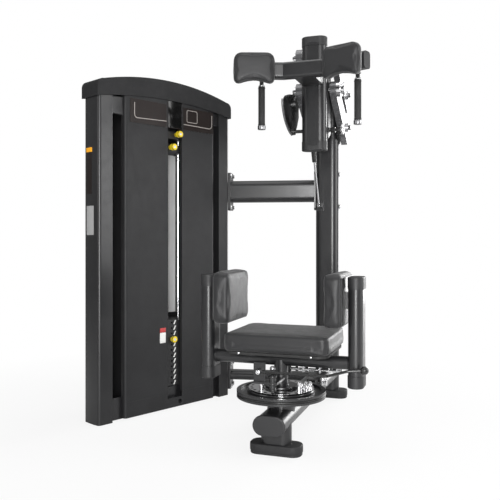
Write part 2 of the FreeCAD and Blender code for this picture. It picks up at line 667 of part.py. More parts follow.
def build_strut_clevis():
    """A plate on the front of the post with two ears and a pin for the strut's foot."""
    front = "post_place - tube_thick / 2"
    inner = "strut_side + strut_eye_thick / 2 + running_gap"
    plate = box("ClevisPlate", "clevis_wide", "clevis_thick", "clevis_tall",
                "-strut_side - clevis_wide / 2", f"{front} - clevis_thick",
                "strut_foot_height - clevis_tall / 2")
    ears = []
    for name, left in (("ClevisEarLeft", f"-({inner}) - clevis_ear"),
                       ("ClevisEarRight", "-strut_side + strut_eye_thick / 2 + running_gap")):
        ear = box(name, "clevis_ear", f"{front} - clevis_thick - strut_foot_place", "2 * strut_foot_eye",
                  left, "strut_foot_place", "strut_foot_height - strut_foot_eye")
        nose = cylinder(name + "Nose", "strut_foot_eye", "clevis_ear", left, "strut_foot_place",
                        "strut_foot_height", ALONG_X)
        ears.extend([ear, nose])
    pin = cylinder("ClevisPin", "strut_pin_radius", "strut_eye_thick + 2 * running_gap + 2 * clevis_ear",
                   f"-({inner}) - clevis_ear", "strut_foot_place", "strut_foot_height", ALONG_X)
    keep(fuse("Clevis", plate, *ears, pin), "strut_clevis")


# Weight tower, drawn in its own axes: x along its face, y into its depth

def column_outline(left):
    """Column section with a gently convex outer side."""
    curve = "column_curve"
    soft = "column_bulge"
    if left:
        return [(soft, "0"), ("column_width", "0"), ("column_width", "column_depth"),
                (soft, "column_depth", soft, 1), ("0", f"column_depth - {soft}", curve, 1),
                ("0", soft, soft, 1)]
    far = "tower_width"
    return [(f"{far} - column_width", "0"), (f"{far} - {soft}", "0", soft, 1),
            (far, soft, curve, 1), (far, f"column_depth - {soft}", soft, 1),
            (f"{far} - {soft}", "column_depth"), (f"{far} - column_width", "column_depth")]


def build_columns():
    for node, left in (("tower_left_column", True), ("tower_right_column", False)):
        start = "2 * column_wall" if left else "tower_width - column_width + column_wall"
        end = "column_width - column_wall" if left else "tower_width - 2 * column_wall"
        hollow = plain(start, "column_wall", end, "column_depth - column_wall")
        body = extruded("Column_" + node, "column_top", [column_outline(left), hollow])
        keep(place_in_tower(body), node)


def build_cap():
    """Arched cover over the columns, hollow and open below."""
    left, right = "-cap_side", "tower_width + cap_side"
    corner = "cap_corner"
    outer = [(left, "cap_low", "arch_radius", -1), (right, "cap_low"),
             (right, f"cap_shoulder - {corner}", corner, 1),
             (f"{right} - {corner}", "cap_shoulder", "cap_radius", 1),
             (f"{left} + {corner}", "cap_shoulder", corner, 1), (left, f"cap_shoulder - {corner}")]
    wall = "cap_wall"
    soft = "(cap_corner - cap_wall)"
    inner = [(f"{left} + {wall}", f"cap_low - {wall}"), (f"{right} - {wall}", f"cap_low - {wall}"),
             (f"{right} - {wall}", f"cap_shoulder - {corner}", soft, 1),
             (f"{right} - {corner}", f"cap_shoulder - {wall}", "cap_radius - cap_wall", 1),
             (f"{left} + {corner}", f"cap_shoulder - {wall}", soft, 1),
             (f"{left} + {wall}", f"cap_shoulder - {corner}")]
    shell = extruded_in_depth("CapOuter", "cap_depth", [outer], "-cap_front")
    hollow = extruded_in_depth("CapHollow", "cap_depth - 2 * cap_wall", [inner],
                               "-cap_front + cap_wall")
    doc.recompute()
    cover = cut("Cap", shell, hollow)
    keep(place_in_tower(cover), "tower_cap")


def sheet_section(start, end, depth, rounded_left, rounded_right, slot_depth="0"):
    """A front sheet whose edges are folded back, with a round bend where it is seen."""
    outer, inner = "panel_round", "panel_round - sheet_wall"
    wall = "sheet_wall"
    corners = []
    corners.append((f"{start} + {outer}" if rounded_left else start, "0"))
    if rounded_right:
        corners += [(f"{end} - {outer}", "0", outer, 1), (end, outer)]
    else:
        corners += [(end, "0")]
    right_depth = depth if rounded_right else slot_depth
    left_depth = depth if rounded_left else slot_depth
    corners += [(end, right_depth), (f"{end} - {wall}", right_depth)]
    if rounded_right:
        corners += [(f"{end} - {wall}", outer, inner, -1), (f"{end} - {outer}", wall)]
    else:
        corners += [(f"{end} - {wall}", wall)]
    if rounded_left:
        corners += [(f"{start} + {outer}", wall, inner, -1), (f"{start} + {wall}", outer)]
    else:
        corners += [(f"{start} + {wall}", wall)]
    corners += [(f"{start} + {wall}", left_depth), (start, left_depth)]
    if rounded_left:
        corners += [(start, outer, outer, 1)]
    return corners


def build_shrouds():
    """Two front sheets with the slot between them, the plinth below and the rear sheet."""
    for node, start, end, left, right in (
            ("shroud_left", "panel_start", "slot_start", True, False),
            ("shroud_right", "slot_end", "panel_end", False, True)):
        section = sheet_section(start, end, "panel_return", left, right, "slot_return")
        sheet_body = extruded("Sheet_" + node, "panel_top - plinth_height", [section])
        sheet_body.setExpression("Placement.Base.z", formula("plinth_height"))
        moved = place_in_tower(sheet_body)
        moved.setExpression("Placement.Base.z", formula("plinth_height"))
        keep(moved, node)
    section = sheet_section("panel_start", "panel_end", "panel_return", True, True)
    plinth = extruded("PlinthSheet", "plinth_height - plinth_lift", [section])
    plinth.setExpression("Placement.Base.z", formula("plinth_lift"))
    notch = box("PlinthNotch", "slot_end - slot_start", "2 * panel_return", "2 * notch_tall",
                "slot_start", "-panel_return", "plinth_height - notch_tall")
    hole = cylinder("PlinthHole", "shroud_hole_radius", "2 * panel_return", "low_pulley_along",
                    "-panel_return", "plinth_height / 2 - shroud_hole_radius", ALONG_Y)
    keep(place_in_tower(cut("Plinth", plinth, notch, hole)), "tower_plinth")
    near, deep = "beam_start + beam_depth", "rear_depth - sheet_wall"
    corners = [("rear_start", near), ("rear_start + sheet_wall", near),
               ("rear_start + sheet_wall", deep), ("rear_end - sheet_wall", deep),
               ("rear_end - sheet_wall", near), ("rear_end", near), ("rear_end", "rear_depth"),
               ("rear_start", "rear_depth")]
    rear = extruded("RearSheet", "panel_top - base_plate_thick", [corners])
    rear.setExpression("Placement.Base.z", formula("base_plate_thick"))
    fold = box("RearFold", "rear_end - rear_start", "rear_depth - cap_depth + cap_front", "sheet_wall",
               "rear_start", "cap_depth - cap_front", "panel_top - sheet_wall")
    keep(place_in_tower(fuse("RearCover", rear, fold)), "rear_shroud")


def build_tower_frame():
    """Base plate, top beam, tie stubs and the brackets that hold the pulleys."""
    inner = "column_width"
    span = "tower_width - 2 * column_width"
    base = box("TowerBase", span, "base_plate_depth", "base_plate_thick", inner, "base_plate_front")
    back = box("RearSheetFoot", "rear_end - rear_start", "rear_depth - base_plate_front"
               " - base_plate_depth", "base_plate_thick", "rear_start",
               "base_plate_front + base_plate_depth")
    kick = box("KickPlate", span, "sheet_wall", "kick_height", inner, "base_plate_front")
    beam = box("TowerBeam", span, "beam_depth", "beam_tall", inner, "beam_start", "beam_height")
    core = box("TowerBeamCore", span, "beam_depth - 2 * beam_wall", "beam_tall - 2 * beam_wall",
               inner, "beam_start + beam_wall", "beam_height + beam_wall")
    beam = cut("BeamHollow", beam, core)
    half = "(pulley_width / 2 + pulley_side_gap)"
    parts = [base, back, kick, beam]
    for name, left in (("TopHangerLeft", f"stack_centre - {half} - pulley_plate"),
                       ("TopHangerRight", f"stack_centre + {half}")):
        parts.append(box(name, "pulley_plate", "2 * pulley_plate_half",
                         "beam_height - top_pulley_height + pulley_plate_half", left,
                         "pulley_depth - pulley_plate_half", "top_pulley_height - pulley_plate_half"))
    parts.append(cylinder("TopAxle", "pulley_bore", f"2 * {half} + 2 * pulley_plate",
                          f"stack_centre - {half} - pulley_plate", "pulley_depth", "top_pulley_height",
                          ALONG_X))
    parts.append(cylinder("LowAxle", "pulley_bore", f"rear_depth - sheet_wall - cable_depth + {half}",
                          "low_pulley_along", f"cable_depth - {half}", "low_pulley_height", ALONG_Y))
    parts.append(cylinder("LowAxleBoss", "pulley_plate_half", "pulley_plate", "low_pulley_along",
                          "rear_depth - sheet_wall - pulley_plate", "low_pulley_height", ALONG_Y))
    column = extruded("StubColumn", "column_top", [column_outline(False)])
    inside = box("StubInside", "tower_width", "3 * column_depth", "column_top", "0", "-column_depth")
    for name, low in (("CornerPlateLow", f"drive_height - {half} - pulley_plate"),
                      ("CornerPlateHigh", f"drive_height + {half}")):
        plate = box(name, "corner_along - tower_width + column_bulge + pulley_plate_half",
                    "2 * pulley_plate_half", "pulley_plate", "tower_width - column_bulge",
                    "pulley_depth - 2 * pulley_plate_half", low)
        parts.append(cut(name, plate, column))
    for name, low in (("CornerArmLow", f"drive_height - {half} - pulley_plate"),
                      ("CornerArmHigh", f"drive_height + {half}")):
        parts.append(box(name, "2 * pulley_plate_half", "2 * pulley_plate_half", "pulley_plate",
                         "corner_along - pulley_plate_half", "pulley_depth - pulley_plate_half", low))
    parts.append(cylinder("CornerAxle", "pulley_bore", f"2 * {half} + 2 * pulley_plate", "corner_along",
                          "pulley_depth", f"drive_height - {half} - pulley_plate"))
    frame = place_in_tower(fuse("TowerFrame", *parts))
    stubs = []
    blockers = []
    for name, body in (("StubColumnPlaced", column), ("StubInsidePlaced", inside)):
        link = doc.addObject("Part::Compound", name)
        link.Links = [body]
        blockers.append(place_in_tower(link))
    for name, section, tall, height, middle in (
            ("UpperStub", [upright_oval("upper_tie_tall", "upper_tie_thick"),
                           upright_oval("upper_tie_tall - 2 * tube_wall",
                                        "upper_tie_thick - 2 * tube_wall")],
             "upper_flange_tall", "upper_tie_height", "upper_tie_height"),
            ("LowerStub", [oval("lower_tie_wide", "lower_tie_tall"),
                           oval("lower_tie_wide - 2 * tube_wall", "lower_tie_tall - 2 * tube_wall")],
             "lower_flange_tall", "lower_flange_height", "lower_tie_height")):
        tube = tie_piece(name + "Tube", extruded(name + "Tube", "stub_length", section),
                         "-stub_length - flange_thick", middle)
        face = flange(name + "Flange", tall, "-flange_thick", height)
        stubs.append(cut(name, tube, *blockers))
        stubs.append(face)
    whole = doc.addObject("Part::Compound", "TowerFrameWhole")
    whole.Links = [frame] + stubs
    keep(whole, "tower_frame")


def build_rods():
    """Guide rods with the collars that carry the add-on weights, and a rubber bumper on each."""
    rods, bumpers = [], []
    for side in ("-1", "1"):
        along = f"stack_centre + {side} * rod_spacing / 2"
        name = "Left" if side == "-1" else "Right"
        rod = cylinder("Rod" + name, "rod_radius", "beam_height - base_plate_thick", along,
                       "stack_depth_place", "base_plate_thick")
        collars = [cylinder(f"Collar{name}{level}", "bumper_radius", "collar_thick", along,
                            "stack_depth_place", f"{level} - add_weight_drop - collar_thick")
                   for level in ("lower_knob_height", "upper_knob_height")]
        rods.append(fuse("Rod" + name, rod, *collars))
        block = cylinder("Bumper" + name, "bumper_radius", "stack_bottom - base_plate_thick", along,
                         "stack_depth_place", "base_plate_thick")
        bore = cylinder("BumperBore" + name, "rod_radius", "stack_bottom", along, "stack_depth_place")
        bumpers.append(cut("Bumper" + name, block, bore))
    doc.recompute()
    group("guide_rods", [rod.Shape for rod in rods], tower_placement())
    group("stack_bumpers", [part.Shape for part in bumpers], tower_placement())


def weight_plate(name, thick, pin_radius, pin_along, pin_height):
    """A steel plate with bores for the rods, the stem and a pin from the front."""
    half = "plate_width / 2"
    front = "stack_depth_place - plate_depth / 2"
    plate = extruded(name, thick, [rounded(f"stack_centre - {half}", front, f"stack_centre + {half}",
                                           "stack_depth_place + plate_depth / 2", "bolt_radius")],
                     [("stack_centre", "stack_depth_place", "stem_hole_radius"),
                      ("stack_centre - rod_spacing / 2", "stack_depth_place", "rod_radius + rod_clear"),
                      ("stack_centre + rod_spacing / 2", "stack_depth_place", "rod_radius + rod_clear")])
    bore = cylinder(name + "PinBore", f"{pin_radius} + selector_clear", "plate_depth / 2", pin_along,
                    front, pin_height, ALONG_Y)
    return cut(name, plate, bore)


def build_stack():
    """Resting plates, lifted plates, add-on weights, stem and pins."""
    plate = weight_plate("Plate", "plate_pitch", "selector_radius", "stack_centre", "plate_thick / 2")
    high = weight_plate("HighWeight", "add_weight_tall", "knob_pin_radius", "upper_knob_along",
                        "add_weight_drop")
    low = weight_plate("LowWeight", "add_weight_tall", "knob_pin_radius", "lower_knob_along",
                       "add_weight_drop")
    doc.recompute()
    resting, lifted = [], []
    for count in range(int(size("resting_count + lifted_count"))):
        shape = plate.Shape.copy()
        shape.translate(Vector(0, 0, size(f"stack_bottom + {count} * plate_pitch")))
        (resting if count < size("resting_count") else lifted).append(shape)
    for weight, height in ((high, "upper_knob_height"), (low, "lower_knob_height")):
        shape = weight.Shape.copy()
        shape.translate(Vector(0, 0, size(f"{height} - add_weight_drop")))
        resting.append(shape)
    group("resting_plates", resting, tower_placement())
    group("lifted_plates", lifted, tower_placement())

    shaft = turned("Stem", [
        ("0", "stem_foot"), ("stem_radius", "stem_foot"), ("stem_radius", "lifted_top"),
        ("stem_hole_radius + rod_clear", "lifted_top"),
        ("stem_hole_radius + rod_clear", "lifted_top + stem_radius"),
        ("stem_radius", "lifted_top + stem_radius"), ("stem_radius", "lifted_top + stem_rise"),
        ("0", "lifted_top + stem_rise")])
    shaft.setExpression("Placement.Base.x", formula("stack_centre"))
    shaft.setExpression("Placement.Base.y", formula("stack_depth_place"))
    bores = [cylinder(f"StemBore{count}", "selector_radius + selector_clear", "4 * stem_radius",
                      "stack_centre", "stack_depth_place - 2 * stem_radius",
                      f"stack_bottom + {count} * plate_pitch + plate_thick / 2", ALONG_Y)
             for count in range(1, int(size("resting_count + lifted_count")))]
    keep(place_in_tower(cut("StemBores", shaft, *bores)), "selector_stem")

    front = "stack_depth_place - plate_depth / 2"
    for node, radius, grip, long, deep, along, height in (
            ("selector_pin", "selector_radius", "selector_grip_radius", "selector_grip_length",
             "plate_depth / 2 + stem_radius", "stack_centre", "pin_height"),
            ("add_weight_pin_upper", "knob_pin_radius", "knob_radius", "knob_length",
             "plate_depth / 2 - knob_length / 2", "upper_knob_along", "upper_knob_height"),
            ("add_weight_pin_lower", "knob_pin_radius", "knob_radius", "knob_length",
             "plate_depth / 2 - knob_length / 2", "lower_knob_along", "lower_knob_height")):
        pin = turned("Pin_" + node, [
            ("0", f"-({long})"), (f"{grip} - knob_pin_radius", f"-({long})"),
            (grip, f"-({long}) + knob_pin_radius"), (grip, f"-({long}) / 2"),
            (f"{grip} / 2 + {radius} / 2", "-knob_pin_radius / 2"), (f"{grip} / 2 + {radius} / 2", "0"),
            (radius, "0"), (radius, deep), ("0", deep)])
        doc.recompute()
        shape = pin.Shape.copy()
        shape.Placement = tower_placement() * Placement(
            Vector(size(along), size(front), size(height)), ALONG_Y)
        group(node, [shape])


def build_tower_trim():
    """Bare notice plates, the centre plate that closes the slot, and the channel behind the slot."""
    thick = "notice_thick"
    parts = []
    for name, start, end in (("NoticeLeft", "left_notice_start", "left_notice_end"),
                             ("NoticeRight", "right_notice_start", "right_notice_end")):
        parts.append(box(name, f"{end} - {start}", thick, "notice_tall", start, f"-{thick}",
                         "notice_bottom"))
    parts.append(box("SlotCover", "slot_end - slot_start", "sheet_wall",
                     "panel_top - notice_bottom", "slot_start", "0", "notice_bottom"))
    parts.append(box("SlotChannel", "guide_strip_wide", "rear_depth - sheet_wall - guide_strip_front",
                     "guide_strip_top - guide_strip_bottom", "stack_centre + guide_strip_place",
                     "guide_strip_front", "guide_strip_bottom"))
    doc.recompute()
    group("tower_trim", [part.Shape for part in parts], tower_placement())


# Cable and pulleys

def pulley(name):
    """A grooved pulley whose axis is its local z."""
    half = "pulley_width / 2"
    rim, root = "pulley_radius", "pulley_radius - pulley_groove"
    land = "(pulley_width / 2 - cable_radius - pulley_groove / 2)"
    return turned(name, [
        ("pulley_bore + running_gap", f"-({half})"), (rim, f"-({half})"), (rim, f"{land} - {half}"),
        (root, "-cable_radius"), (root, "cable_radius"), (rim, f"{half} - {land}"), (rim, half),
        ("pulley_bore + running_gap", half)])


def build_pulleys():
    wheel = pulley("Pulley")
    rear_bore = turned("RearPulley", [
        ("pulley_post_radius + running_gap", "-pulley_width / 2"), ("pulley_radius", "-pulley_width / 2"),
        ("pulley_radius", "-pulley_groove"), ("pulley_radius - pulley_groove", "-cable_radius"),
        ("pulley_radius - pulley_groove", "cable_radius"), ("pulley_radius", "pulley_groove"),
        ("pulley_radius", "pulley_width / 2"), ("pulley_post_radius + running_gap", "pulley_width / 2")])
    doc.recompute()
    for node, along, depth, height, turn in (
            ("top_pulley", "stack_centre", "pulley_depth", "top_pulley_height", ALONG_X),
            ("tower_lower_pulley", "low_pulley_along", "cable_depth", "low_pulley_height", ALONG_Y),
            ("corner_pulley", "corner_along", "pulley_depth", "drive_height", Rotation())):
        shape = wheel.Shape.copy()
        shape.Placement = tower_placement() * Placement(
            Vector(size(along), size(depth), size(height)), turn)
        group(node, [shape])
    shape = rear_bore.Shape.copy()
    shape.Placement = Placement(
        Vector(-size("rear_pulley_x"), size("rear_pulley_y"), size("drive_height")), Rotation())
    group("rear_pulley", [shape])


def arc_edge(centre, start, middle, end):
    return Part.Arc(centre + start, centre + middle, centre + end).toShape()


def around(radius, degrees):
    return Vector(radius * math.cos(math.radians(degrees)), radius * math.sin(math.radians(degrees)), 0)


def build_cables():
    """Drive cable from the cam disc over all four pulleys, and the straight cable to the stem."""
    to_world = tower_placement()
    height = size("drive_height")
    wrap = size("wrap_radius")
    drum = size("drum_radius")
    disc = Vector(0, size("axis_place"), height)
    rear = Vector(-size("rear_pulley_x"), size("rear_pulley_y"), height)
    corner = to_world.multVec(Vector(size("corner_along"), size("pulley_depth"), height))
    between = rear - disc
    normal_a = math.degrees(math.atan2(between.y, between.x)
                            + math.asin((drum - wrap) / between.Length)) - 90
    over = corner - rear
    normal_b = math.degrees(math.atan2(over.y, over.x)) - 90 + 360
    normal_c = size("tower_turn") + 90
    end_c = to_world.multVec(Vector(size("low_pulley_along"), size("cable_depth"), height))
    turn_point = to_world.multVec(Vector(size("low_pulley_along"), size("cable_depth"),
                                         size("low_pulley_height")))
    along = to_world.Rotation.multVec(X_AXIS)
    rise = to_world.multVec(Vector(size("stack_centre"), size("cable_depth"),
                                   size("low_pulley_height")))
    top = to_world.multVec(Vector(size("stack_centre"), size("cable_depth"),
                                  size("top_pulley_height")))
    top_centre = to_world.multVec(Vector(size("stack_centre"), size("pulley_depth"),
                                         size("top_pulley_height")))
    down = to_world.multVec(Vector(size("stack_centre"), size("stack_depth_place"),
                                   size("top_pulley_height")))
    first = normal_a - size("belt_wrap")
    half = math.sqrt(1 / 2)
    edges = [
        arc_edge(disc, around(drum, first), around(drum, (first + normal_a) / 2),
                 around(drum, normal_a)),
        Part.makeLine(disc + around(drum, normal_a), rear + around(wrap, normal_a)),
        arc_edge(rear, around(wrap, normal_a), around(wrap, (normal_a + normal_b) / 2),
                 around(wrap, normal_b)),
        Part.makeLine(rear + around(wrap, normal_b), corner + around(wrap, normal_b)),
        arc_edge(corner, around(wrap, normal_b), around(wrap, (normal_b + normal_c) / 2),
                 around(wrap, normal_c)),
        Part.makeLine(corner + around(wrap, normal_c), end_c),
        arc_edge(turn_point, Z_AXIS * -wrap, (Z_AXIS * -wrap - along * wrap) * half, along * -wrap),
        Part.makeLine(rise, top),
        arc_edge(top_centre, top - top_centre, Z_AXIS * wrap, down - top_centre)]
    spine = Part.Wire(edges)
    start = edges[0].valueAt(edges[0].FirstParameter)
    tangent = edges[0].tangentAt(edges[0].FirstParameter)
    profile = Part.Wire([Part.makeCircle(size("cable_radius"), start, tangent)])
    group("drive_cable", [spine.makePipeShell([profile], True, False)])
    straight = cylinder("StackCable", "cable_radius", "top_pulley_height - lifted_top - stem_rise",
                        "stack_centre", "stack_depth_place", "lifted_top + stem_rise")
    straight = fuse("StackCable", straight)
    holder = doc.addObject("Part::Compound", "StackCablePlaced")
    holder.Links = [straight]
    keep(place_in_tower(holder), "stack_cable")


# Turntable on the base tube

def build_turntable():
    """Bearing, grooved disc on its spindle, index ring with its holes and two stop pins."""
    housing = cylinder("BearingHousing", "bearing_radius", "disc_bottom - cable_gap - base_axis_height",
                       "0", "axis_place", "base_axis_height")
    bore = cylinder("BearingBore", "spindle_radius + running_gap", "disc_bottom", "0", "axis_place",
                    "base_top")
    keep(cut("Housing", housing, base_mandrel("BearingMandrel"), bore), "turntable_bearing")

    middle = "(disc_bottom + disc_thick / 2)"
    rim = "disc_radius"
    floor = "disc_radius - rim_groove"
    disc = turned("Disc", [
        ("0", "base_top + spindle_foot"), ("spindle_radius", "base_top + spindle_foot"),
        ("spindle_radius", "disc_bottom"), (rim, "disc_bottom"),
        (rim, f"{middle} - rim_groove_half"), (floor, f"{middle} - rim_groove_half + cable_gap"),
        (floor, f"{middle} + rim_groove_half - cable_gap"), (rim, f"{middle} + rim_groove_half"),
        (rim, "disc_top"), (f"{rim} - disc_rim", "disc_top"),
        (f"{rim} - disc_rim", "disc_bottom + disc_web"), ("disc_land", "disc_bottom + disc_web"),
        ("disc_land", "disc_top"), ("spindle_radius", "disc_top"),
        ("spindle_radius", "disc_top + spindle_rise"), ("0", "disc_top + spindle_rise")])
    keep(place(disc, "0", "axis_place", "0"), "turntable_disc")

    holes = []
    for step in range(-4, 5):
        angle = f"({step} * index_step)"
        holes.append((f"index_radius * sin({angle})", f"-index_radius * cos({angle})",
                      "index_hole_radius"))
    ring = extruded("IndexRing", "ring_thick", [], [("0", "0", "ring_outer"), ("0", "0", "ring_inner")]
                    + holes)
    keep(place(ring, "0", "axis_place", "ring_bottom"), "index_ring")

    pins = []
    for name, angle in (("StopPinLeft", "stop_angle_left"), ("StopPinRight", "stop_angle_right")):
        pins.append(cylinder(name, "stop_pin_radius", "stop_pin_rise",
                             f"stop_place * cos({angle})",
                             f"axis_place + stop_place * sin({angle})", "ring_top"))
    doc.recompute()
    group("stop_pins", [pin.Shape for pin in pins])


# Knee platform

def build_platform_frame():
    """Turning column with the cross tube, pad saddles, pull-pin housing and lever bracket."""
    shaft = turned("Column", [
        ("spindle_radius + running_gap", "column_base"), ("column_flange_radius", "column_base"),
        ("column_flange_radius", "column_base + column_flange_thick"),
        ("column_radius", "column_base + column_flange_thick"), ("column_radius", "cross_height"),
        ("0", "cross_height"), ("0", "disc_top + spindle_rise + platform_gap"),
        ("spindle_radius + running_gap", "disc_top + spindle_rise + platform_gap")])
    place(shaft, "0", "axis_place", "0")
    half = "(thigh_tube_place - thigh_tube_thick / 2)"
    across = cylinder("CrossTube", "cross_radius", f"2 * {half}", f"-{half}", "axis_place",
                      "cross_height", ALONG_X)
    inside = cylinder("CrossTubeBore", "cross_radius - cross_wall", f"2 * {half}", f"-{half}",
                      "axis_place", "cross_height", ALONG_X)
    tongue = box("Tongue", "tongue_wide", "index_radius + start_body_radius", "tongue_thick",
                 "-tongue_wide / 2", "axis_place - index_radius - start_body_radius", "tongue_height")
    start = "axis_place - index_radius"
    housing = cylinder("PinHousing", "start_body_radius", "start_body_rise", "0", start,
                       "start_body_bottom")
    shelf = box("LeverShelf", "lever_bracket_wide + column_radius", "tongue_wide", "tongue_thick",
                "-lever_bracket_wide - column_radius", "-lever_place", "tongue_height")
    bracket = box("LeverBracket", "lever_bracket_wide", "lever_bracket_thick", "lever_bracket_tall",
                  "-lever_bracket_wide - column_radius", "-lever_place + lever_radius + platform_gap",
                  "tongue_height")
    bolt = cylinder("LeverBolt", "lever_bolt_radius",
                    "2 * lever_radius + 2 * platform_gap + lever_bolt_radius", "-lever_pivot",
                    "-lever_place - lever_radius - platform_gap", "lever_height", ALONG_Y)
    head = cylinder("LeverBoltHead", "lever_bolt_head", "lever_bolt_radius", "-lever_pivot",
                    "-lever_place - lever_radius - platform_gap - lever_bolt_radius", "lever_height",
                    ALONG_Y)
    saddles = []
    for name, middle in (("SaddleLeft", "-saddle_place"), ("SaddleRight", "saddle_place")):
        saddles.append(box(name, "saddle_wide", "saddle_deep", "saddle_thick",
                           f"{middle} - saddle_wide / 2", "axis_place - saddle_deep / 2",
                           "knee_board_bottom - saddle_thick"))
    bore = cylinder("PinHousingBore", "start_pin_radius + running_gap", "2 * start_body_rise", "0",
                    start, "start_body_bottom - start_body_rise / 2")
    body = fuse("PlatformSolid", shaft, across, tongue, housing, shelf, bracket, bolt, head, *saddles)
    socket = cylinder("SpindleSocket", "spindle_radius + running_gap",
                      "disc_top + spindle_rise + platform_gap - column_base", "0", "axis_place",
                      "column_base")
    keep(cut("PlatformFrame", body, inside, bore, socket), "platform_frame")


def build_thigh_supports():
    """Upright oval tubes with deep moulded caps, and the plates that carry the pads."""
    tube = extruded("ThighTube", "thigh_tube_top - thigh_tube_bottom", [
        upright_oval("thigh_tube_deep", "thigh_tube_thick"),
        upright_oval("thigh_tube_deep - 2 * tube_wall", "thigh_tube_thick - 2 * tube_wall")])
    rim = "2 * thigh_cap_rim"
    cap = extruded("ThighCap", "thigh_cap_height",
                   [upright_oval(f"thigh_tube_deep + {rim}", f"thigh_tube_thick + {rim}")])
    soften_top(cap, "PartDesign::Fillet", "Radius", "cap_soft")
    doc.recompute()
    tubes, caps = [], []
    for side in (-1, 1):
        across = side * size("thigh_tube_place")
        shape = tube.Shape.copy()
        shape.translate(Vector(across, size("axis_place"), size("thigh_tube_bottom")))
        tubes.append(shape)
        high = cap.Shape.copy()
        high.translate(Vector(across, size("axis_place"), size("thigh_tube_top")))
        low = cap.Shape.copy()
        low.Placement = Placement(Vector(across, size("axis_place"), size("thigh_tube_bottom")),
                                  Rotation(Y_AXIS, 180))
        caps += [high, low]
    group("thigh_tubes", tubes)
    group("thigh_tube_caps", caps)

    plates = []
    outer = "thigh_pad_inner + thigh_pad_thick + seat_gap"
    inset = "thigh_plate_inset"
    for name, left, bracket in (
            ("Left", f"-({outer}) - thigh_plate_thick", "-thigh_tube_place + thigh_tube_thick / 2"),
            ("Right", outer, f"{outer} + thigh_plate_thick")):
        plate = box("ThighPlate" + name, "thigh_plate_thick", f"thigh_pad_deep - 2 * {inset}",
                    f"thigh_pad_tall - 2 * {inset}", left, f"-thigh_pad_front + {inset}",
                    f"thigh_pad_bottom + {inset}")
        wide = f"thigh_tube_place - thigh_tube_thick / 2 - ({outer}) - thigh_plate_thick"
        block = box("ThighBlock" + name, wide, "thigh_bracket_deep", "thigh_bracket_tall", bracket,
                    "axis_place - thigh_bracket_deep / 2",
                    "thigh_pad_bottom + thigh_pad_tall / 2 - thigh_bracket_tall / 2")
        plates.append(fuse("ThighMount" + name, plate, block))
    doc.recompute()
    group("thigh_pad_plates", [plate.Shape for plate in plates])


# Cushions: a back drawn in over the board, full sides, a soft shoulder and a crowned face

def cushion(outline, thick):
    """A lofted cushion on its local XY plane; outline(inset) gives its corners."""
    draw, soft, crown = size("cushion_draw"), size("cushion_soft"), size("cushion_crown")
    levels = [(0, draw), (soft * 2, 0), (thick - 4 * soft, 0), (thick - soft, soft), (thick, crown)]
    wires = []
    for height, inset in levels:
        edges = [curve.toShape() for curve in outline_curves(outline(inset))]
        wire = Part.Wire(Part.__sortEdges__(edges))
        wire.translate(Vector(0, 0, height))
        wires.append(wire)
    return Part.makeLoft(wires, True, True)


def block_outline(wide, tall, corner):
    """Corners of a rounded cushion face about its centre, drawn in by an inset in millimetres."""
    def corners(inset):
        return rounded(f"{inset} - ({wide}) / 2", f"{inset} - ({tall}) / 2",
                       f"({wide}) / 2 - {inset}", f"({tall}) / 2 - {inset}", corner)
    return corners


def chest_outline(inset):
    """A rounded face whose lower edge is gently arched."""
    left, right = f"({inset} - chest_pad_width / 2)", f"(chest_pad_width / 2 - {inset})"
    low, high = f"({inset} - chest_pad_tall / 2)", f"(chest_pad_tall / 2 - {inset})"
    soft = "chest_pad_corner"
    return [(f"{left} + {soft}", low, "chest_arch_radius", -1), (f"{right} - {soft}", low, soft, 1),
            (right, f"{low} + {soft}"), (right, f"{high} - {soft}", soft, 1),
            (f"{right} - {soft}", high), (f"{left} + {soft}", high, soft, 1),
            (left, f"{high} - {soft}"), (left, f"{low} + {soft}", soft, 1)]


def set_cushion(node, shape, where):
    obj = doc.addObject("Part::Feature", "Cushion_" + node)
    obj.Shape = shape
    obj.Placement = where
    return keep(obj, node)


def build_platform_cushions():
    """Knee pad on its board and the two thigh pads."""
    board = extruded("KneeBoard", "knee_board_thick", [rounded(
        "knee_board_inset - knee_width / 2", "knee_board_inset - knee_front",
        "knee_width / 2 - knee_board_inset", "knee_depth - knee_front - knee_board_inset",
        "knee_corner")])
    keep(place(board, "0", "0", "knee_board_bottom"), "knee_board")
    knee = cushion(block_outline("knee_width", "knee_depth", "knee_corner"), size("knee_thick"))
    set_cushion("knee_pad", knee, Placement(
        Vector(0, size("knee_depth / 2 - knee_front"), size("knee_bottom")), Rotation()))
    middle_y = size("thigh_pad_deep / 2 - thigh_pad_front")
    middle_z = size("thigh_pad_bottom + thigh_pad_tall / 2")
    outer = size("thigh_pad_inner + thigh_pad_thick")
    thigh = cushion(block_outline("thigh_pad_deep", "thigh_pad_tall", "thigh_pad_corner"),
                    size("thigh_pad_thick"))
    set_cushion("thigh_pad_left", thigh.copy(), Placement(
        Vector(-outer, middle_y, middle_z), FACING_X))
    set_cushion("thigh_pad_right", thigh.copy(), Placement(
        Vector(outer, middle_y, middle_z), Rotation(Z_AXIS, 180) * FACING_X))


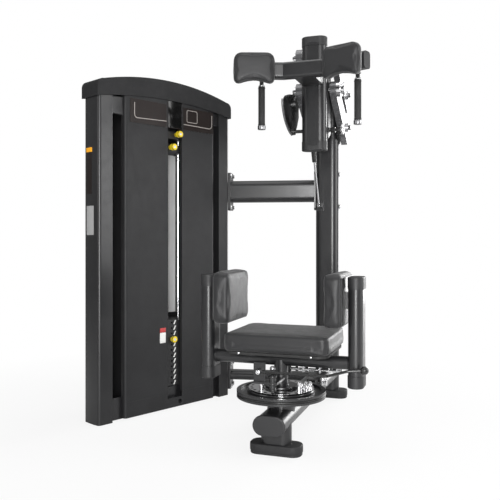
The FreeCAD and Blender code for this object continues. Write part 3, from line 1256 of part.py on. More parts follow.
def build_start_control():
    """Pull pin with its knob, and the bent hand lever with an eye and a ball."""
    start = "axis_place - index_radius"
    low = "ring_top + start_pin_clear"
    pin = turned("StartPin", [
        ("0", low), ("start_pin_radius / 2", low), ("start_pin_radius", f"{low} + start_pin_radius / 2"),
        ("start_pin_radius", "lever_knob_bottom"), ("start_knob_radius", "lever_knob_bottom"),
        ("start_knob_radius", "lever_knob_bottom + start_knob_tall - start_pin_radius"),
        ("start_knob_radius - start_pin_radius", "lever_knob_bottom + start_knob_tall"),
        ("0", "lever_knob_bottom + start_knob_tall")])
    keep(place(pin, "0", start, "0"), "start_pin")

    pivot = Vector(-size("lever_pivot"), -size("lever_place"), size("lever_height"))
    near = Vector(size("lever_bend"), pivot.y, pivot.z)
    side = Vector(size("lever_side"), -size("lever_side_place"), pivot.z + size("lever_side_rise"))
    tip = Vector(size("lever_tip"), size("lever_tip_place"), pivot.z + size("lever_tip_rise"))
    path = Part.Wire([Part.makeLine(pivot, near), Part.makeLine(near, side), Part.makeLine(side, tip)])
    start_circle = Part.Wire([Part.makeCircle(size("lever_radius"), pivot, X_AXIS)])
    rod = path.makePipeShell([start_circle], True, False, 2)
    eye = Part.makeCylinder(size("lever_eye_radius"), size("2 * lever_radius"),
                            pivot - Y_AXIS * size("lever_radius"), Y_AXIS)
    bore = Part.makeCylinder(size("lever_bolt_radius + running_gap"), size("4 * lever_radius"),
                             pivot - Y_AXIS * size("2 * lever_radius"), Y_AXIS)
    ball = Part.makeSphere(size("ball_radius"), tip)
    group("start_lever", [rod.fuse([eye, ball]).cut(bore)])


# Chest unit on its carrier tube

def swept(side, along, forward, height):
    """A placement on one swept half of the crossbar, facing the user."""
    angle = size("crossbar_sweep")
    radians = math.radians(angle)
    bend = Vector(side * size("crossbar_bend"), size("crossbar_place"), height)
    outward = Vector(side * math.cos(radians), -math.sin(radians), 0)
    facing = Vector(-side * math.sin(radians), -math.cos(radians), 0)
    return Placement(bend + outward * along + facing * forward,
                     Rotation(Z_AXIS, -side * angle) * FACING_Y)


def crossbar_solid(inset, shorten):
    """A mitred bar of rounded section: straight in the middle, both halves swept to the front."""
    radians = math.radians(size("crossbar_sweep"))
    bend = size("crossbar_bend")
    reach = size(f"crossbar_half - crossbar_bend - {shorten}")
    middle, height = size("crossbar_place"), size("crossbar_height")
    end = Vector(bend + reach * math.cos(radians), middle - reach * math.sin(radians), height)
    points = [Vector(-end.x, end.y, height), Vector(-bend, middle, height),
              Vector(bend, middle, height), end]
    half_deep, half_tall = f"(crossbar_thick / 2 - {inset})", f"(crossbar_tall / 2 - {inset})"
    corners = rounded(f"-{half_deep}", f"-{half_tall}", half_deep, half_tall,
                      f"crossbar_round - {inset}")
    section = Part.Wire(Part.__sortEdges__([curve.toShape() for curve in outline_curves(corners)]))
    section.Placement = Placement(points[0], Rotation(Z_AXIS, size("crossbar_sweep")) * FACING_X)
    path = Part.makePolygon(points)
    return path.makePipeShell([section], True, False, 1)


def crossbar_caps():
    """A flat moulded cap for each end of the crossbar."""
    half_deep, half_tall = "crossbar_thick / 2", "crossbar_tall / 2"
    corners = rounded(f"-{half_deep}", f"-{half_tall}", half_deep, half_tall, "crossbar_round")
    section = Part.Wire(Part.__sortEdges__([curve.toShape() for curve in outline_curves(corners)]))
    caps = []
    for side in (-1, 1):
        where = swept(side, size("crossbar_half - crossbar_bend - crossbar_cap"), 0,
                      size("crossbar_height"))
        face = Part.Face(section)
        face.Placement = Placement(where.Base, Rotation(Z_AXIS, -side * size("crossbar_sweep"))
                                   * FACING_X)
        outward = where.Base - swept(side, 0, 0, size("crossbar_height")).Base
        caps.append(face.extrude(outward.normalize() * size("crossbar_cap")))
    return caps


def crossbar_part(name, inset, shorten):
    obj = doc.addObject("Part::Feature", name)
    obj.Shape = crossbar_solid(inset, shorten)
    return obj


def build_carrier():
    """Oval carrier tube with deep caps and the channel that takes the links behind it."""
    tube = oval_tube("CarrierTube", "carrier_top - carrier_bottom - 2 * carrier_cap_height")
    keep(place(tube, "0", "carrier_place", "carrier_bottom + carrier_cap_height"), "chest_carrier")
    cap = tube_cap("CarrierCap", "carrier_cap_rim", "carrier_cap_height")
    doc.recompute()
    high = cap.Shape.copy()
    high.Placement = Placement(Vector(0, size("carrier_place"), size("carrier_top - carrier_cap_height")),
                               Rotation())
    low = cap.Shape.copy()
    low.Placement = Placement(
        Vector(0, size("carrier_place"), size("carrier_bottom + carrier_cap_height")),
        Rotation(Y_AXIS, 180))
    group("chest_end_caps", [high, low] + crossbar_caps())

    near, far = "carrier_back", "carrier_back + channel_depth"
    slope = "channel_depth / 2"
    side = [(near, "channel_bottom"), (far, f"channel_bottom + {slope}"),
            (far, f"channel_top - {slope}"), (near, "channel_top")]
    channel = place(extruded("Channel", "tube_width", [side]), "-tube_width / 2", "0", "0", FACING_X)
    hollow = box("ChannelHollow", "tube_width - 2 * channel_wall", "2 * channel_depth",
                 "channel_top - channel_bottom", "channel_wall - tube_width / 2",
                 "carrier_back + channel_wall", "channel_bottom")
    holes = [cylinder(f"ChannelBore{count}", f"{radius} + running_gap", "2 * tube_width",
                      "-tube_width", along, height, ALONG_X)
             for count, (radius, along, height) in enumerate((
                 ("pivot_radius", "front_pivot_place", "lower_front_height"),
                 ("pivot_radius", "front_pivot_place", "upper_front_height"),
                 ("lock_shaft_radius", "lock_place", "lock_height")))]
    keep(cut("CarrierChannel", channel, hollow, *holes), "carrier_bracket")


def build_crossbar():
    """Swept crossbar with a boxed bracket back to the carrier."""
    outside = crossbar_part("Crossbar", "0", "crossbar_cap")
    inside = crossbar_part("CrossbarHollow", "crossbar_wall", "0")
    back = "carrier_place - tube_thick / 2 - box_start"
    block = box("BoxBracket", "2 * box_half_width", back, "box_tall", "-box_half_width", "box_start",
                "crossbar_height - box_tall / 2")
    core = box("BoxBracketCore", "2 * box_half_width - 2 * box_wall", back,
               "box_tall - 2 * box_wall", "box_wall - box_half_width",
               "crossbar_place + crossbar_thick / 2", "crossbar_height - box_tall / 2 + box_wall")
    block = cut("BoxBracketHollow", block, core)
    carrier = place(oval_bar("BoxBracketCope", "post_top"), "0", "carrier_place",
                    "crossbar_height - post_top / 2")
    block = cut("BoxBracketEnd", block, carrier)
    keep(cut("CrossbarWhole", fuse("CrossbarSolid", outside, block), inside), "chest_crossbar")


def build_pad_mounts():
    """Boards on standoffs behind the chest pads and flat brackets that carry the grips."""
    height = size("crossbar_height")
    level = size("chest_pad_height")
    forward = size("crossbar_thick / 2")
    along = size("pad_along")
    shapes = []
    inset = size("pad_board_inset")
    face = Part.Face(Part.Wire(Part.__sortEdges__(
        [curve.toShape() for curve in outline_curves(chest_outline(inset))])))
    outside = crossbar_part("CrossbarCope", "0", "0")
    bar = box("GripArm", "grip_arm_wide", "grip_place - crossbar_place + crossbar_sweep",
              "grip_arm_thick", "grip_spread - grip_arm_wide / 2", "crossbar_place - crossbar_sweep",
              "grip_arm_height")
    nose = cylinder("GripArmNose", "grip_arm_wide / 2", "grip_arm_thick", "grip_spread", "grip_place",
                    "grip_arm_height")
    arm = cut("GripArm", fuse("GripArmWhole", bar, nose), outside)
    doc.recompute()
    for side in (-1, 1):
        board = face.extrude(Z_AXIS * size("pad_board_thick"))
        board.Placement = swept(side, along, size("crossbar_thick / 2 + pad_standoff"), level)
        stand = Part.makeBox(size("standoff_wide"), size("standoff_tall"), size("pad_standoff"),
                             Vector(-size("standoff_wide / 2"), -size("standoff_tall / 2"), 0))
        stand.Placement = swept(side, along, forward, height)
        shapes += [board, stand]
        shapes.append(arm.Shape.copy() if side > 0 else arm.Shape.mirror(Vector(), X_AXIS))
    group("pad_and_grip_brackets", shapes)

    pad = cushion(chest_outline, size("chest_pad_thick"))
    for node, side in (("chest_pad_left", -1), ("chest_pad_right", 1)):
        set_cushion(node, pad.copy(), swept(
            side, along, size("crossbar_thick / 2 + pad_standoff + pad_board_thick + seat_gap"), level))


def build_grips():
    """Upright padded grips, each on a core rod with a metal end."""
    tip = "grip_bottom - grip_end"
    grip = turned("Grip", [
        ("0", tip), ("grip_end", tip), ("grip_end", "grip_bottom"), ("grip_radius", "grip_bottom"),
        ("grip_radius", "grip_top"), ("grip_core", "grip_top"), ("grip_core", "grip_arm_height"),
        ("0", "grip_arm_height")])
    doc.recompute()
    shapes = []
    for side in (-1, 1):
        shape = grip.Shape.copy()
        shape.translate(Vector(side * size("grip_spread"), size("grip_place"), 0))
        shapes.append(shape)
    group("hand_grips", shapes)


# Links, strut and lock

def build_links():
    """Each link is a pair of tapered arms, one on each side of the post and carrier."""
    soft = "link_thick / 2"
    half = "link_rear_tall / 2"
    arm_outline = [
        (f"{soft} - link_tail", f"-{half}"), ("link_length", "-link_front_radius", "link_front_radius", 1),
        ("link_length + link_front_radius", "0", "link_front_radius", 1),
        ("link_length", "link_front_radius"), (f"{soft} - link_tail", half, soft, 1),
        ("-link_tail", f"{half} - {soft}"), ("-link_tail", f"{soft} - {half}", soft, 1)]
    slope = math.degrees(math.atan2(size("link_rise"), -size("link_reach")))
    for node, height, front_gap in (("lower_link", "lower_pivot_height", "running_gap"),
                                    ("upper_link", "upper_pivot_height", "loop_gap")):
        arm = extruded("Arm_" + node, "link_thick", [arm_outline],
                       [("0", "0", "pivot_radius + running_gap"),
                        ("link_length", "0", f"pivot_radius + {front_gap}")])
        doc.recompute()
        shapes = []
        for inner in (size("link_inner"), -size("link_inner + link_thick")):
            shape = arm.Shape.copy()
            shape.Placement = Placement(Vector(inner, size("post_place"), size(height)),
                                        Rotation(X_AXIS, slope) * FACING_X)
            shapes.append(shape)
        group(node, shapes)


def build_strut():
    """Gas strut: a rod with its foot eye and a cylinder with a wide eye round the lock shaft."""
    foot = Vector(-size("strut_side"), size("strut_foot_place"), size("strut_foot_height"))
    top = Vector(-size("strut_side"), size("lock_place"), size("lock_height"))
    way = (top - foot).normalize()
    turn = Rotation(Z_AXIS, way)
    length = size("strut_length")
    eye_half = size("strut_eye_thick / 2")
    outer = size("strut_eye_radius + strut_eye_wall")
    tube_start = length - size("strut_eye_radius") - size("strut_tube_length")
    rod_end = tube_start + size("strut_overlap")

    def ring(centre, radius, hole):
        start = centre - X_AXIS * eye_half
        disc = Part.makeCylinder(radius, 2 * eye_half, start, X_AXIS)
        return disc, Part.makeCylinder(hole, 4 * eye_half, start - X_AXIS * eye_half, X_AXIS)

    disc, hole = ring(foot, size("strut_foot_eye"), size("strut_pin_radius + running_gap"))
    rod = Part.makeCylinder(size("strut_rod_radius"), rod_end, foot, way)
    group("strut_rod", [rod.fuse(disc).cut(hole)])
    disc, hole = ring(top, outer, size("strut_eye_radius"))
    tube = Part.makeCylinder(size("strut_tube_radius"), size("strut_tube_length"),
                             foot + way * tube_start, way)
    bore = Part.makeCylinder(size("strut_rod_radius + running_gap"),
                             size("strut_tube_length - strut_eye_wall"), foot + way * tube_start, way)
    group("strut_cylinder", [tube.fuse(disc).cut([bore, hole])])


def build_lock():
    """Lock shaft across the channel with a side plate and a round hand hub on the left."""
    shaft = cylinder("LockShaft", "lock_shaft_radius", "2 * lock_shaft_half", "-lock_shaft_half",
                     "lock_place", "lock_height", ALONG_X)
    plate_left = "-lock_shaft_half - lock_plate_thick"
    hub_y, hub_z = "front_pivot_place + lock_hub_back", "lock_height + lock_hub_rise"
    arm_length = "sqrt((front_pivot_place + lock_hub_back - lock_place) ^ 2 + lock_hub_rise ^ 2)"
    arm = extruded("LockPlate", "lock_plate_thick", [[
        ("0", "-lock_boss_radius"), (arm_length, "-lock_boss_radius"), (arm_length, "lock_boss_radius"),
        ("0", "lock_boss_radius", "lock_boss_radius", 1),
        ("-lock_boss_radius", "0", "lock_boss_radius", 1)]])
    lean = math.degrees(math.atan2(size("lock_hub_rise"),
                                   size("front_pivot_place + lock_hub_back - lock_place")))
    arm.Placement = Placement(Vector(0, 0, 0), Rotation(X_AXIS, lean) * FACING_X)
    place(arm, plate_left, "lock_place", "lock_height")
    hub = cylinder("LockHub", "lock_hub_radius", "lock_hub_length", "-lock_plate_inner", hub_y, hub_z,
                   ALONG_X)
    nut = cylinder("LockNut", "lock_spacer_radius", "nut_radius", "tube_half + side_plate_thick",
                   "lock_place", "lock_height", ALONG_X)
    rim = cylinder("LockRim", "nut_radius", "lock_plate_thick", "lock_shaft_half - lock_plate_thick",
                   "lock_place", "lock_height", ALONG_X)
    keep(fuse("LockLever", shaft, arm, hub, nut, rim), "lock_lever")


# Build order, checks and export

PARTS = (
    build_feet, build_base_frame, build_main_post, build_frame_caps, build_upper_tie, build_lower_tie,
    build_frame_bolts, build_pivots, build_strut_clevis, build_columns, build_cap, build_shrouds,
    build_tower_frame, build_rods, build_stack, build_tower_trim, build_pulleys, build_cables,
    build_turntable, build_platform_frame, build_thigh_supports, build_platform_cushions,
    build_start_control, build_carrier, build_crossbar, build_pad_mounts, build_grips, build_links,
    build_strut, build_lock)

for build in PARTS:
    build()
doc.recompute()

for obj in doc.Objects:
    if "Invalid" in obj.State or "Error" in obj.State:
        raise RuntimeError(f"{obj.Name} did not compute: {obj.State}")
for node, obj in NODES.items():
    if obj.Shape.isNull() or not obj.Shape.isValid() or not obj.Shape.Solids:
        raise RuntimeError(f"{node} has no valid solid")

for node, obj in NODES.items():
    obj.Shape.exportStep(os.path.join("parts", f"{node}.step"))
print(len(NODES), "parts written")
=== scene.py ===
import json
import logging
import math
from dataclasses import dataclass
from enum import Enum

import bmesh
import bpy
from mathutils import Matrix, Vector
from mathutils.bvhtree import BVHTree

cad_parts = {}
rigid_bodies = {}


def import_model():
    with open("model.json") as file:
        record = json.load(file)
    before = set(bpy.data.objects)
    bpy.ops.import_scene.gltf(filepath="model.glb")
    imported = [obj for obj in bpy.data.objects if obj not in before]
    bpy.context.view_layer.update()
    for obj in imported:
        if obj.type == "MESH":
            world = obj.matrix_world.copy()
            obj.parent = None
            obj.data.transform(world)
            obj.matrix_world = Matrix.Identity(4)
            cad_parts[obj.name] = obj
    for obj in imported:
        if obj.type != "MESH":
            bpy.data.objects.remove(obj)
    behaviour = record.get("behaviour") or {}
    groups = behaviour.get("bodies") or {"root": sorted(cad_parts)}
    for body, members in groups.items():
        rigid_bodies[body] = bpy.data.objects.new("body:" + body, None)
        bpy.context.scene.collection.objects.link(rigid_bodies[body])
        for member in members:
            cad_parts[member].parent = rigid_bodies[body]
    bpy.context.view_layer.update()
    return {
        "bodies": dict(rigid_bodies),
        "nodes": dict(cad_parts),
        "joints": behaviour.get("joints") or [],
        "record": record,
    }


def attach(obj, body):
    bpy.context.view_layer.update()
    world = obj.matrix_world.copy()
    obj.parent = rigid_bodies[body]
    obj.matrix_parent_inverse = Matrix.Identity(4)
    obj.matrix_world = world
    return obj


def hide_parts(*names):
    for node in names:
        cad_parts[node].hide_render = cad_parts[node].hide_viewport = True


# Kneeling rotary torso machine: finishes, cushions, notices, fasteners and welds on the machine's solids.
# Metres. +Z up, +Y from the front foot towards the main post, +X away from the weight tower.

log = logging.getLogger("torso_machine")

Place = tuple[float, float, float]
Outline = list[tuple[float, float]]

TOWER_CORNER = (-0.791, 0.076, 0.0)
TOWER_TURN = 64.8
TOWER = Matrix.Translation(TOWER_CORNER) @ Matrix.Rotation(math.radians(TOWER_TURN), 4, "Z")
FACING_FRONT = Matrix.Rotation(math.radians(90.0), 4, "X")
ALONG_X = Matrix.Rotation(math.radians(90.0), 4, "Y")
RIGHTWARD, LEFTWARD = Vector((1.0, 0.0, 0.0)), Vector((-1.0, 0.0, 0.0))
REARWARD, UPWARD = Vector((0.0, 1.0, 0.0)), Vector((0.0, 0.0, 1.0))
WHITE = (1.0, 1.0, 1.0, 1.0)
# Radius under which a turned form's corner lies on its axis, and height under which an edge lies level
ON_AXIS, LEVEL = 1e-7, 1e-9

# Turning axis of the platform, in front of the post
AXIS_PLACE = 0.062


class Body(Enum):
    """Bodies of the machine that pieces ride on."""

    FRAME = "frame"
    CARRIER = "chest_carrier"
    PLATFORM = "platform"
    CAM = "cam"
    LOCK = "lock_lever"
    STACK = "lifted_stack"
    SELECTOR = "selector_pin"
    UPPER_WEIGHT = "add_weight_pin_upper"
    LOWER_WEIGHT = "add_weight_pin_lower"
    START_PIN = "start_pin"


class Grain(Enum):
    """Kinds of fine relief a finish can have."""

    POWDER = "powder"
    LEATHER = "leather"
    BRUSHED = "brushed"
    MOULDED = "moulded"
    CAST = "cast"


class NodeWork:
    """Adds nodes to one tree and joins their sockets."""

    tree: bpy.types.NodeTree

    def node(self, kind: str, **settings: object) -> bpy.types.Node:
        """Add one node with its settings.

        Args:
            kind: the node's type name.
            settings: attributes to set on it.

        Returns:
            The new node.
        """
        made = self.tree.nodes.new(kind)
        for key, value in settings.items():
            setattr(made, key, value)
        return made

    def join(self, start: bpy.types.NodeSocket, end: bpy.types.NodeSocket) -> None:
        """Link an output socket to an input socket."""
        self.tree.links.new(start, end)

    def wire(self, *pairs: tuple[bpy.types.NodeSocket, bpy.types.NodeSocket]) -> None:
        """Link each pair's output socket to its input socket."""
        for start, end in pairs:
            self.join(start, end)


class Bench(NodeWork):
    """The tree of one surface's material."""

    relief_strength = 0.6
    edge_dots = (0.99, 0.8)
    edge_samples = 4

    def __init__(self, name: str) -> None:
        """Start an empty tree with an output, a shader and the object's own coordinates.

        Args:
            name: name of the new material.
        """
        self.material = bpy.data.materials.new(name)
        self.material.use_nodes = True
        self.tree = self.material.node_tree
        self.tree.nodes.clear()
        self.output = self.node("ShaderNodeOutputMaterial")
        self.shader = self.node("ShaderNodeBsdfPrincipled")
        self.join(self.shader.outputs["BSDF"], self.output.inputs["Surface"])
        self.place = self.node("ShaderNodeTexCoord").outputs["Object"]

    def stretched(self, shares: Place) -> bpy.types.NodeSocket:
        """Coordinates scaled by a share along each axis.

        Args:
            shares: factors for X, Y and Z.

        Returns:
            The scaled vector's socket.
        """
        scale = self.node("ShaderNodeVectorMath", operation="MULTIPLY")
        scale.inputs[1].default_value = shares
        self.join(self.place, scale.inputs[0])
        return scale.outputs[0]

    def noise(self, size: float, detail: float = 3.0, rough: float = 0.55,
              where: bpy.types.NodeSocket | None = None) -> bpy.types.NodeSocket:
        """Soft noise whose patches are about a size across.

        Args:
            size: width of a patch in metres.
            detail: octaves.
            rough: strength of the finer octaves.
            where: coordinates, or the object's own.

        Returns:
            The noise value's socket.
        """
        made = self.node("ShaderNodeTexNoise")
        made.inputs["Scale"].default_value = 1.0 / size
        made.inputs["Detail"].default_value = detail
        made.inputs["Roughness"].default_value = rough
        self.join(where or self.place, made.inputs["Vector"])
        return made.outputs["Fac"]

    def cells(self, size: float) -> bpy.types.NodeSocket:
        """Distance to the nearest cell border, for leather grain.

        Args:
            size: width of a cell in metres.

        Returns:
            The distance's socket.
        """
        made = self.node("ShaderNodeTexVoronoi", feature="DISTANCE_TO_EDGE")
        made.inputs["Scale"].default_value = 1.0 / size
        self.join(self.place, made.inputs["Vector"])
        return made.outputs["Distance"]

    def spread(self, value: bpy.types.NodeSocket, low: float, high: float,
               to_low: float, to_high: float) -> bpy.types.NodeSocket:
        """Map a value's range to another one, held at its ends.

        Args:
            value: the socket to map.
            low: start of its range.
            high: end of its range.
            to_low: result at the start.
            to_high: result at the end.

        Returns:
            The mapped value's socket.
        """
        made = self.node("ShaderNodeMapRange")
        for key, number in (("From Min", low), ("From Max", high), ("To Min", to_low), ("To Max", to_high)):
            made.inputs[key].default_value = number
        self.join(value, made.inputs["Value"])
        return made.outputs["Result"]

    def blend(self, share: bpy.types.NodeSocket, first: object, second: object) -> bpy.types.NodeSocket:
        """Mix two colours, each a socket or three numbers.

        Args:
            share: how much of the second.
            first: colour at 0.
            second: colour at 1.

        Returns:
            The mixed colour's socket.
        """
        made = self.node("ShaderNodeMix", data_type="RGBA")
        self.join(share, made.inputs[0])
        for socket, colour in ((made.inputs[6], first), (made.inputs[7], second)):
            if isinstance(colour, bpy.types.NodeSocket):
                self.join(colour, socket)
            else:
                socket.default_value = (*colour, 1.0)
        return made.outputs[2]

    def edges(self, radius: float) -> tuple[bpy.types.NodeSocket, bpy.types.NodeSocket]:
        """Rounded edge normals, and a mask that is 1 at the edges.

        Args:
            radius: width of the rounding in metres.

        Returns:
            The normal's socket and the mask's socket.
        """
        rounded = self.node("ShaderNodeBevel", samples=self.edge_samples)
        rounded.inputs["Radius"].default_value = radius
        surface = self.node("ShaderNodeNewGeometry")
        product = self.node("ShaderNodeVectorMath", operation="DOT_PRODUCT")
        self.join(rounded.outputs["Normal"], product.inputs[0])
        self.join(surface.outputs["True Normal"], product.inputs[1])
        mask = self.spread(product.outputs["Value"], *self.edge_dots, 0.0, 1.0)
        return rounded.outputs["Normal"], mask

    def relief(self, height: bpy.types.NodeSocket, depth: float,
               normal: bpy.types.NodeSocket | None = None) -> bpy.types.NodeSocket:
        """Turn a height into a bumped normal.

        Args:
            height: the height's socket, from 0 to 1.
            depth: depth of the relief in metres.
            normal: normal below it, if there is one.

        Returns:
            The normal's socket.
        """
        made = self.node("ShaderNodeBump")
        made.inputs["Strength"].default_value = self.relief_strength
        made.inputs["Distance"].default_value = depth
        self.join(height, made.inputs["Height"])
        if normal is not None:
            self.join(normal, made.inputs["Normal"])
        return made.outputs["Normal"]


COAT_ROUGH = 0.22
SHEEN_ROUGH = 0.5
PATCH_SIZE = 0.09
# Size of the patches along the lighter edges, which are partly wear and partly painted highlight
SCUFF_AND_HIGHLIGHT_SIZE = 0.012
GLOSS_PATCH = 0.035
SPECK_TINT = 1.7
# How much lighter the edges are painted: partly wear, partly a painted highlight along the rims
WORN_AND_HIGHLIGHT_TINT = 2.6
PORE_SHARE = 0.35
CREASE_WIDTH = 0.22
BRUSH_STRETCH = (1.0, 1.0, 14.0)


@dataclass(frozen=True)
class Finish:
    """One surface finish: its colour, gloss, grain, and its lighter edges, which are partly wear and partly
    painted highlight.
    """

    name: str
    slot: str
    colour: Place
    rough: float = 0.45
    metal: float = 0.0
    grain: Grain = Grain.POWDER
    grain_size: float = 0.0016
    grain_depth: float = 0.00006
    mottle: float = 0.10
    wear_and_highlight: float = 0.25
    edge: float = 0.0018
    coat: float = 0.0
    sheen: float = 0.0
    specular: float = 0.5

    def shade(self, factor: float) -> Place:
        """The colour times a factor, held below 1."""
        return tuple(min(part * factor, 1.0) for part in self.colour)

    def height(self, bench: Bench) -> bpy.types.NodeSocket:
        """The grain's height.

        Args:
            bench: the material being made.

        Returns:
            The height's socket, from 0 to 1.
        """
        if self.grain is Grain.LEATHER:
            crease = bench.spread(bench.cells(self.grain_size), 0.0, CREASE_WIDTH, 0.0, 1.0)
            pores = bench.noise(self.grain_size * 0.4, 2.0)
            both = bench.node("ShaderNodeMath", operation="MULTIPLY_ADD")
            bench.join(pores, both.inputs[0])
            both.inputs[1].default_value = PORE_SHARE
            bench.join(crease, both.inputs[2])
            return both.outputs[0]
        if self.grain is Grain.BRUSHED:
            return bench.noise(self.grain_size, 4.0, 0.6, bench.stretched(BRUSH_STRETCH))
        if self.grain is Grain.CAST:
            return bench.noise(self.grain_size * 1.6, 6.0, 0.7)
        if self.grain is Grain.MOULDED:
            return bench.noise(self.grain_size * 0.6, 1.5, 0.4)
        return bench.noise(self.grain_size, 2.5, 0.5)

    def material(self) -> bpy.types.Material:
        """Make the material: mottled colour, lighter edges that are partly wear and partly painted highlight,
        uneven gloss and the grain's relief.

        Returns:
            The new material.
        """
        bench = Bench(self.name)
        normal, edge_wear_highlight_mask = bench.edges(self.edge)
        patches = bench.noise(PATCH_SIZE, 4.0)
        tone = bench.spread(patches, 0.3, 0.7, 0.0, 1.0)
        base = bench.blend(tone, self.shade(1.0 - self.mottle), self.shade(1.0 + self.mottle))
        height = self.height(bench)
        speck = bench.spread(height, 0.25, 0.75, 0.0, self.mottle)
        base = bench.blend(speck, base, self.shade(SPECK_TINT))
        # Edges painted lighter: partly wear, partly a painted highlight along the rims
        scuff_and_highlight = bench.node("ShaderNodeMath", operation="MULTIPLY")
        bench.join(edge_wear_highlight_mask, scuff_and_highlight.inputs[0])
        edge_breakup = bench.noise(SCUFF_AND_HIGHLIGHT_SIZE, 3.0)
        bench.join(bench.spread(edge_breakup, 0.4, 0.7, 0.2 * self.wear_and_highlight, self.wear_and_highlight), scuff_and_highlight.inputs[1])
        base = bench.blend(scuff_and_highlight.outputs[0], base, self.shade(WORN_AND_HIGHLIGHT_TINT))
        bench.join(base, bench.shader.inputs["Base Color"])
        gloss = bench.spread(bench.noise(GLOSS_PATCH, 3.0), 0.3, 0.7, self.rough * 0.88,
                             min(self.rough * 1.12, 1.0))
        bench.join(gloss, bench.shader.inputs["Roughness"])
        bench.join(bench.relief(height, self.grain_depth, normal), bench.shader.inputs["Normal"])
        for label, amount in (("Metallic", self.metal), ("Coat Weight", self.coat),
                              ("Coat Roughness", COAT_ROUGH), ("Sheen Weight", self.sheen),
                              ("Sheen Roughness", SHEEN_ROUGH), ("Specular IOR Level", self.specular)):
            bench.shader.inputs[label].default_value = amount
        bench.material.diffuse_color = (*self.colour, 1.0)
        return bench.material


CHARCOAL = Finish("charcoal_powder_coat", "charcoal_coat", (0.013, 0.013, 0.014), 0.34, coat=0.3)
ARM_COAT = Finish("arm_metallic_coat", "bright_coat", (0.14, 0.14, 0.145), 0.26, 0.5, coat=0.5)
COLUMN_COAT = Finish("column_powder_coat", "bright_coat", (0.012, 0.012, 0.013), 0.34, coat=0.1)
SHEET_COAT = Finish("shroud_texture_coat", "shroud_sheet", (0.017, 0.017, 0.018), 0.5,
                    grain_size=0.0013, grain_depth=0.00012, mottle=0.14, specular=0.3)
CAP_SHELL = Finish("moulded_cap", "cap_plastic", (0.013, 0.013, 0.014), 0.62, grain=Grain.MOULDED,
                   grain_depth=0.00008, wear_and_highlight=0.1, specular=0.3)
END_CAP = Finish("moulded_end_cap", "end_cap_plastic", (0.019, 0.019, 0.020), 0.5, grain=Grain.MOULDED)
FOOT = Finish("foot_rubber_black", "foot_rubber", (0.014, 0.014, 0.015), 0.62, grain=Grain.MOULDED,
              grain_depth=0.0001, wear_and_highlight=0.35)
VINYL = Finish("black_pad_vinyl", "pad_vinyl", (0.010, 0.010, 0.011), 0.44, grain=Grain.LEATHER,
               grain_size=0.0022, grain_depth=0.00016, mottle=0.08, wear_and_highlight=0.0, edge=0.001, sheen=0.15)
SEAM = Finish("black_seam_cord", "pad_vinyl", (0.012, 0.012, 0.013), 0.55, grain=Grain.LEATHER,
              grain_size=0.0012, wear_and_highlight=0.0, edge=0.0005)
BOARD = Finish("pad_backing_board", "pad_board", (0.016, 0.016, 0.016), 0.7, grain=Grain.MOULDED)
GRIP = Finish("grip_foam_rubber", "grip_rubber", (0.016, 0.016, 0.016), 0.72, grain=Grain.CAST,
              grain_size=0.0018, grain_depth=0.00025, wear_and_highlight=0.05)
STEEL = Finish("brushed_steel", "bright_steel", (0.55, 0.55, 0.56), 0.28, 1.0, Grain.BRUSHED, 0.0008,
               0.00003, 0.06, 0.05, 0.0008)
CHROME = Finish("polished_chrome", "chrome_steel", (0.72, 0.72, 0.73), 0.10, 1.0, Grain.BRUSHED, 0.0012,
                0.00001, 0.03, 0.0, 0.0012)
SATIN = Finish("satin_tube_end", "chrome_steel", (0.42, 0.42, 0.43), 0.3, 1.0, Grain.BRUSHED, 0.0008,
               0.00003, 0.06, 0.05, 0.0008)
DARK_STEEL = Finish("dark_bolt_steel", "bright_steel", (0.16, 0.16, 0.16), 0.34, 1.0, Grain.BRUSHED, 0.0008,
                    0.00003, 0.06, 0.1, 0.0008)
CAST = Finish("cast_weight_plate", "cast_plate", (0.013, 0.013, 0.014), 0.5, grain=Grain.CAST,
              grain_size=0.002, grain_depth=0.0003)
CABLE = Finish("nylon_coated_cable", "cable_black", (0.014, 0.014, 0.014), 0.35, grain=Grain.BRUSHED,
               grain_size=0.002, edge=0.0004)
NYLON = Finish("pulley_nylon_black", "pulley_nylon", (0.022, 0.022, 0.023), 0.45, grain=Grain.MOULDED)
YELLOW = Finish("yellow_knob_plastic", "yellow_knob", (0.82, 0.60, 0.02), 0.35, grain=Grain.MOULDED,
                wear_and_highlight=0.05)
PALE_BUTTON = Finish("pale_knob_button", "yellow_knob", (0.55, 0.58, 0.72), 0.3, grain=Grain.MOULDED,
                     wear_and_highlight=0.05)
NOTICE = Finish("brown_notice_film", "trim_dark", (0.011, 0.007, 0.006), 0.4, grain=Grain.MOULDED, wear_and_highlight=0.1,
                specular=0.3)
NOTICE_LINE = Finish("pale_notice_line", "trim_dark", (0.36, 0.33, 0.31), 0.45, grain=Grain.MOULDED,
                     wear_and_highlight=0.1)
GLOSS_BLACK = Finish("gloss_black_plate", "trim_dark", (0.006, 0.006, 0.006), 0.12, grain=Grain.MOULDED,
                     grain_depth=0.00001)
STRIP = Finish("pale_slot_channel", "bright_steel", (0.88, 0.88, 0.87), 0.42, 0.15, Grain.BRUSHED, 0.001,
               0.00003, 0.05, 0.05)
ORANGE = Finish("orange_label", "yellow_knob", (0.90, 0.38, 0.01), 0.4, grain=Grain.MOULDED, wear_and_highlight=0.05)
PALE_LABEL = Finish("pale_label", "bright_steel", (0.34, 0.34, 0.34), 0.5, grain=Grain.MOULDED, wear_and_highlight=0.1)
RED_LABEL = Finish("red_label", "trim_dark", (0.42, 0.03, 0.03), 0.45, grain=Grain.MOULDED, wear_and_highlight=0.1)
KNOB_RIM = Finish("olive_knob_rim", "yellow_knob", (0.20, 0.16, 0.01), 0.45, grain=Grain.MOULDED, wear_and_highlight=0.05)
WHITE_LABEL = Finish("white_label", "bright_steel", (0.72, 0.72, 0.70), 0.5, grain=Grain.MOULDED, wear_and_highlight=0.1)
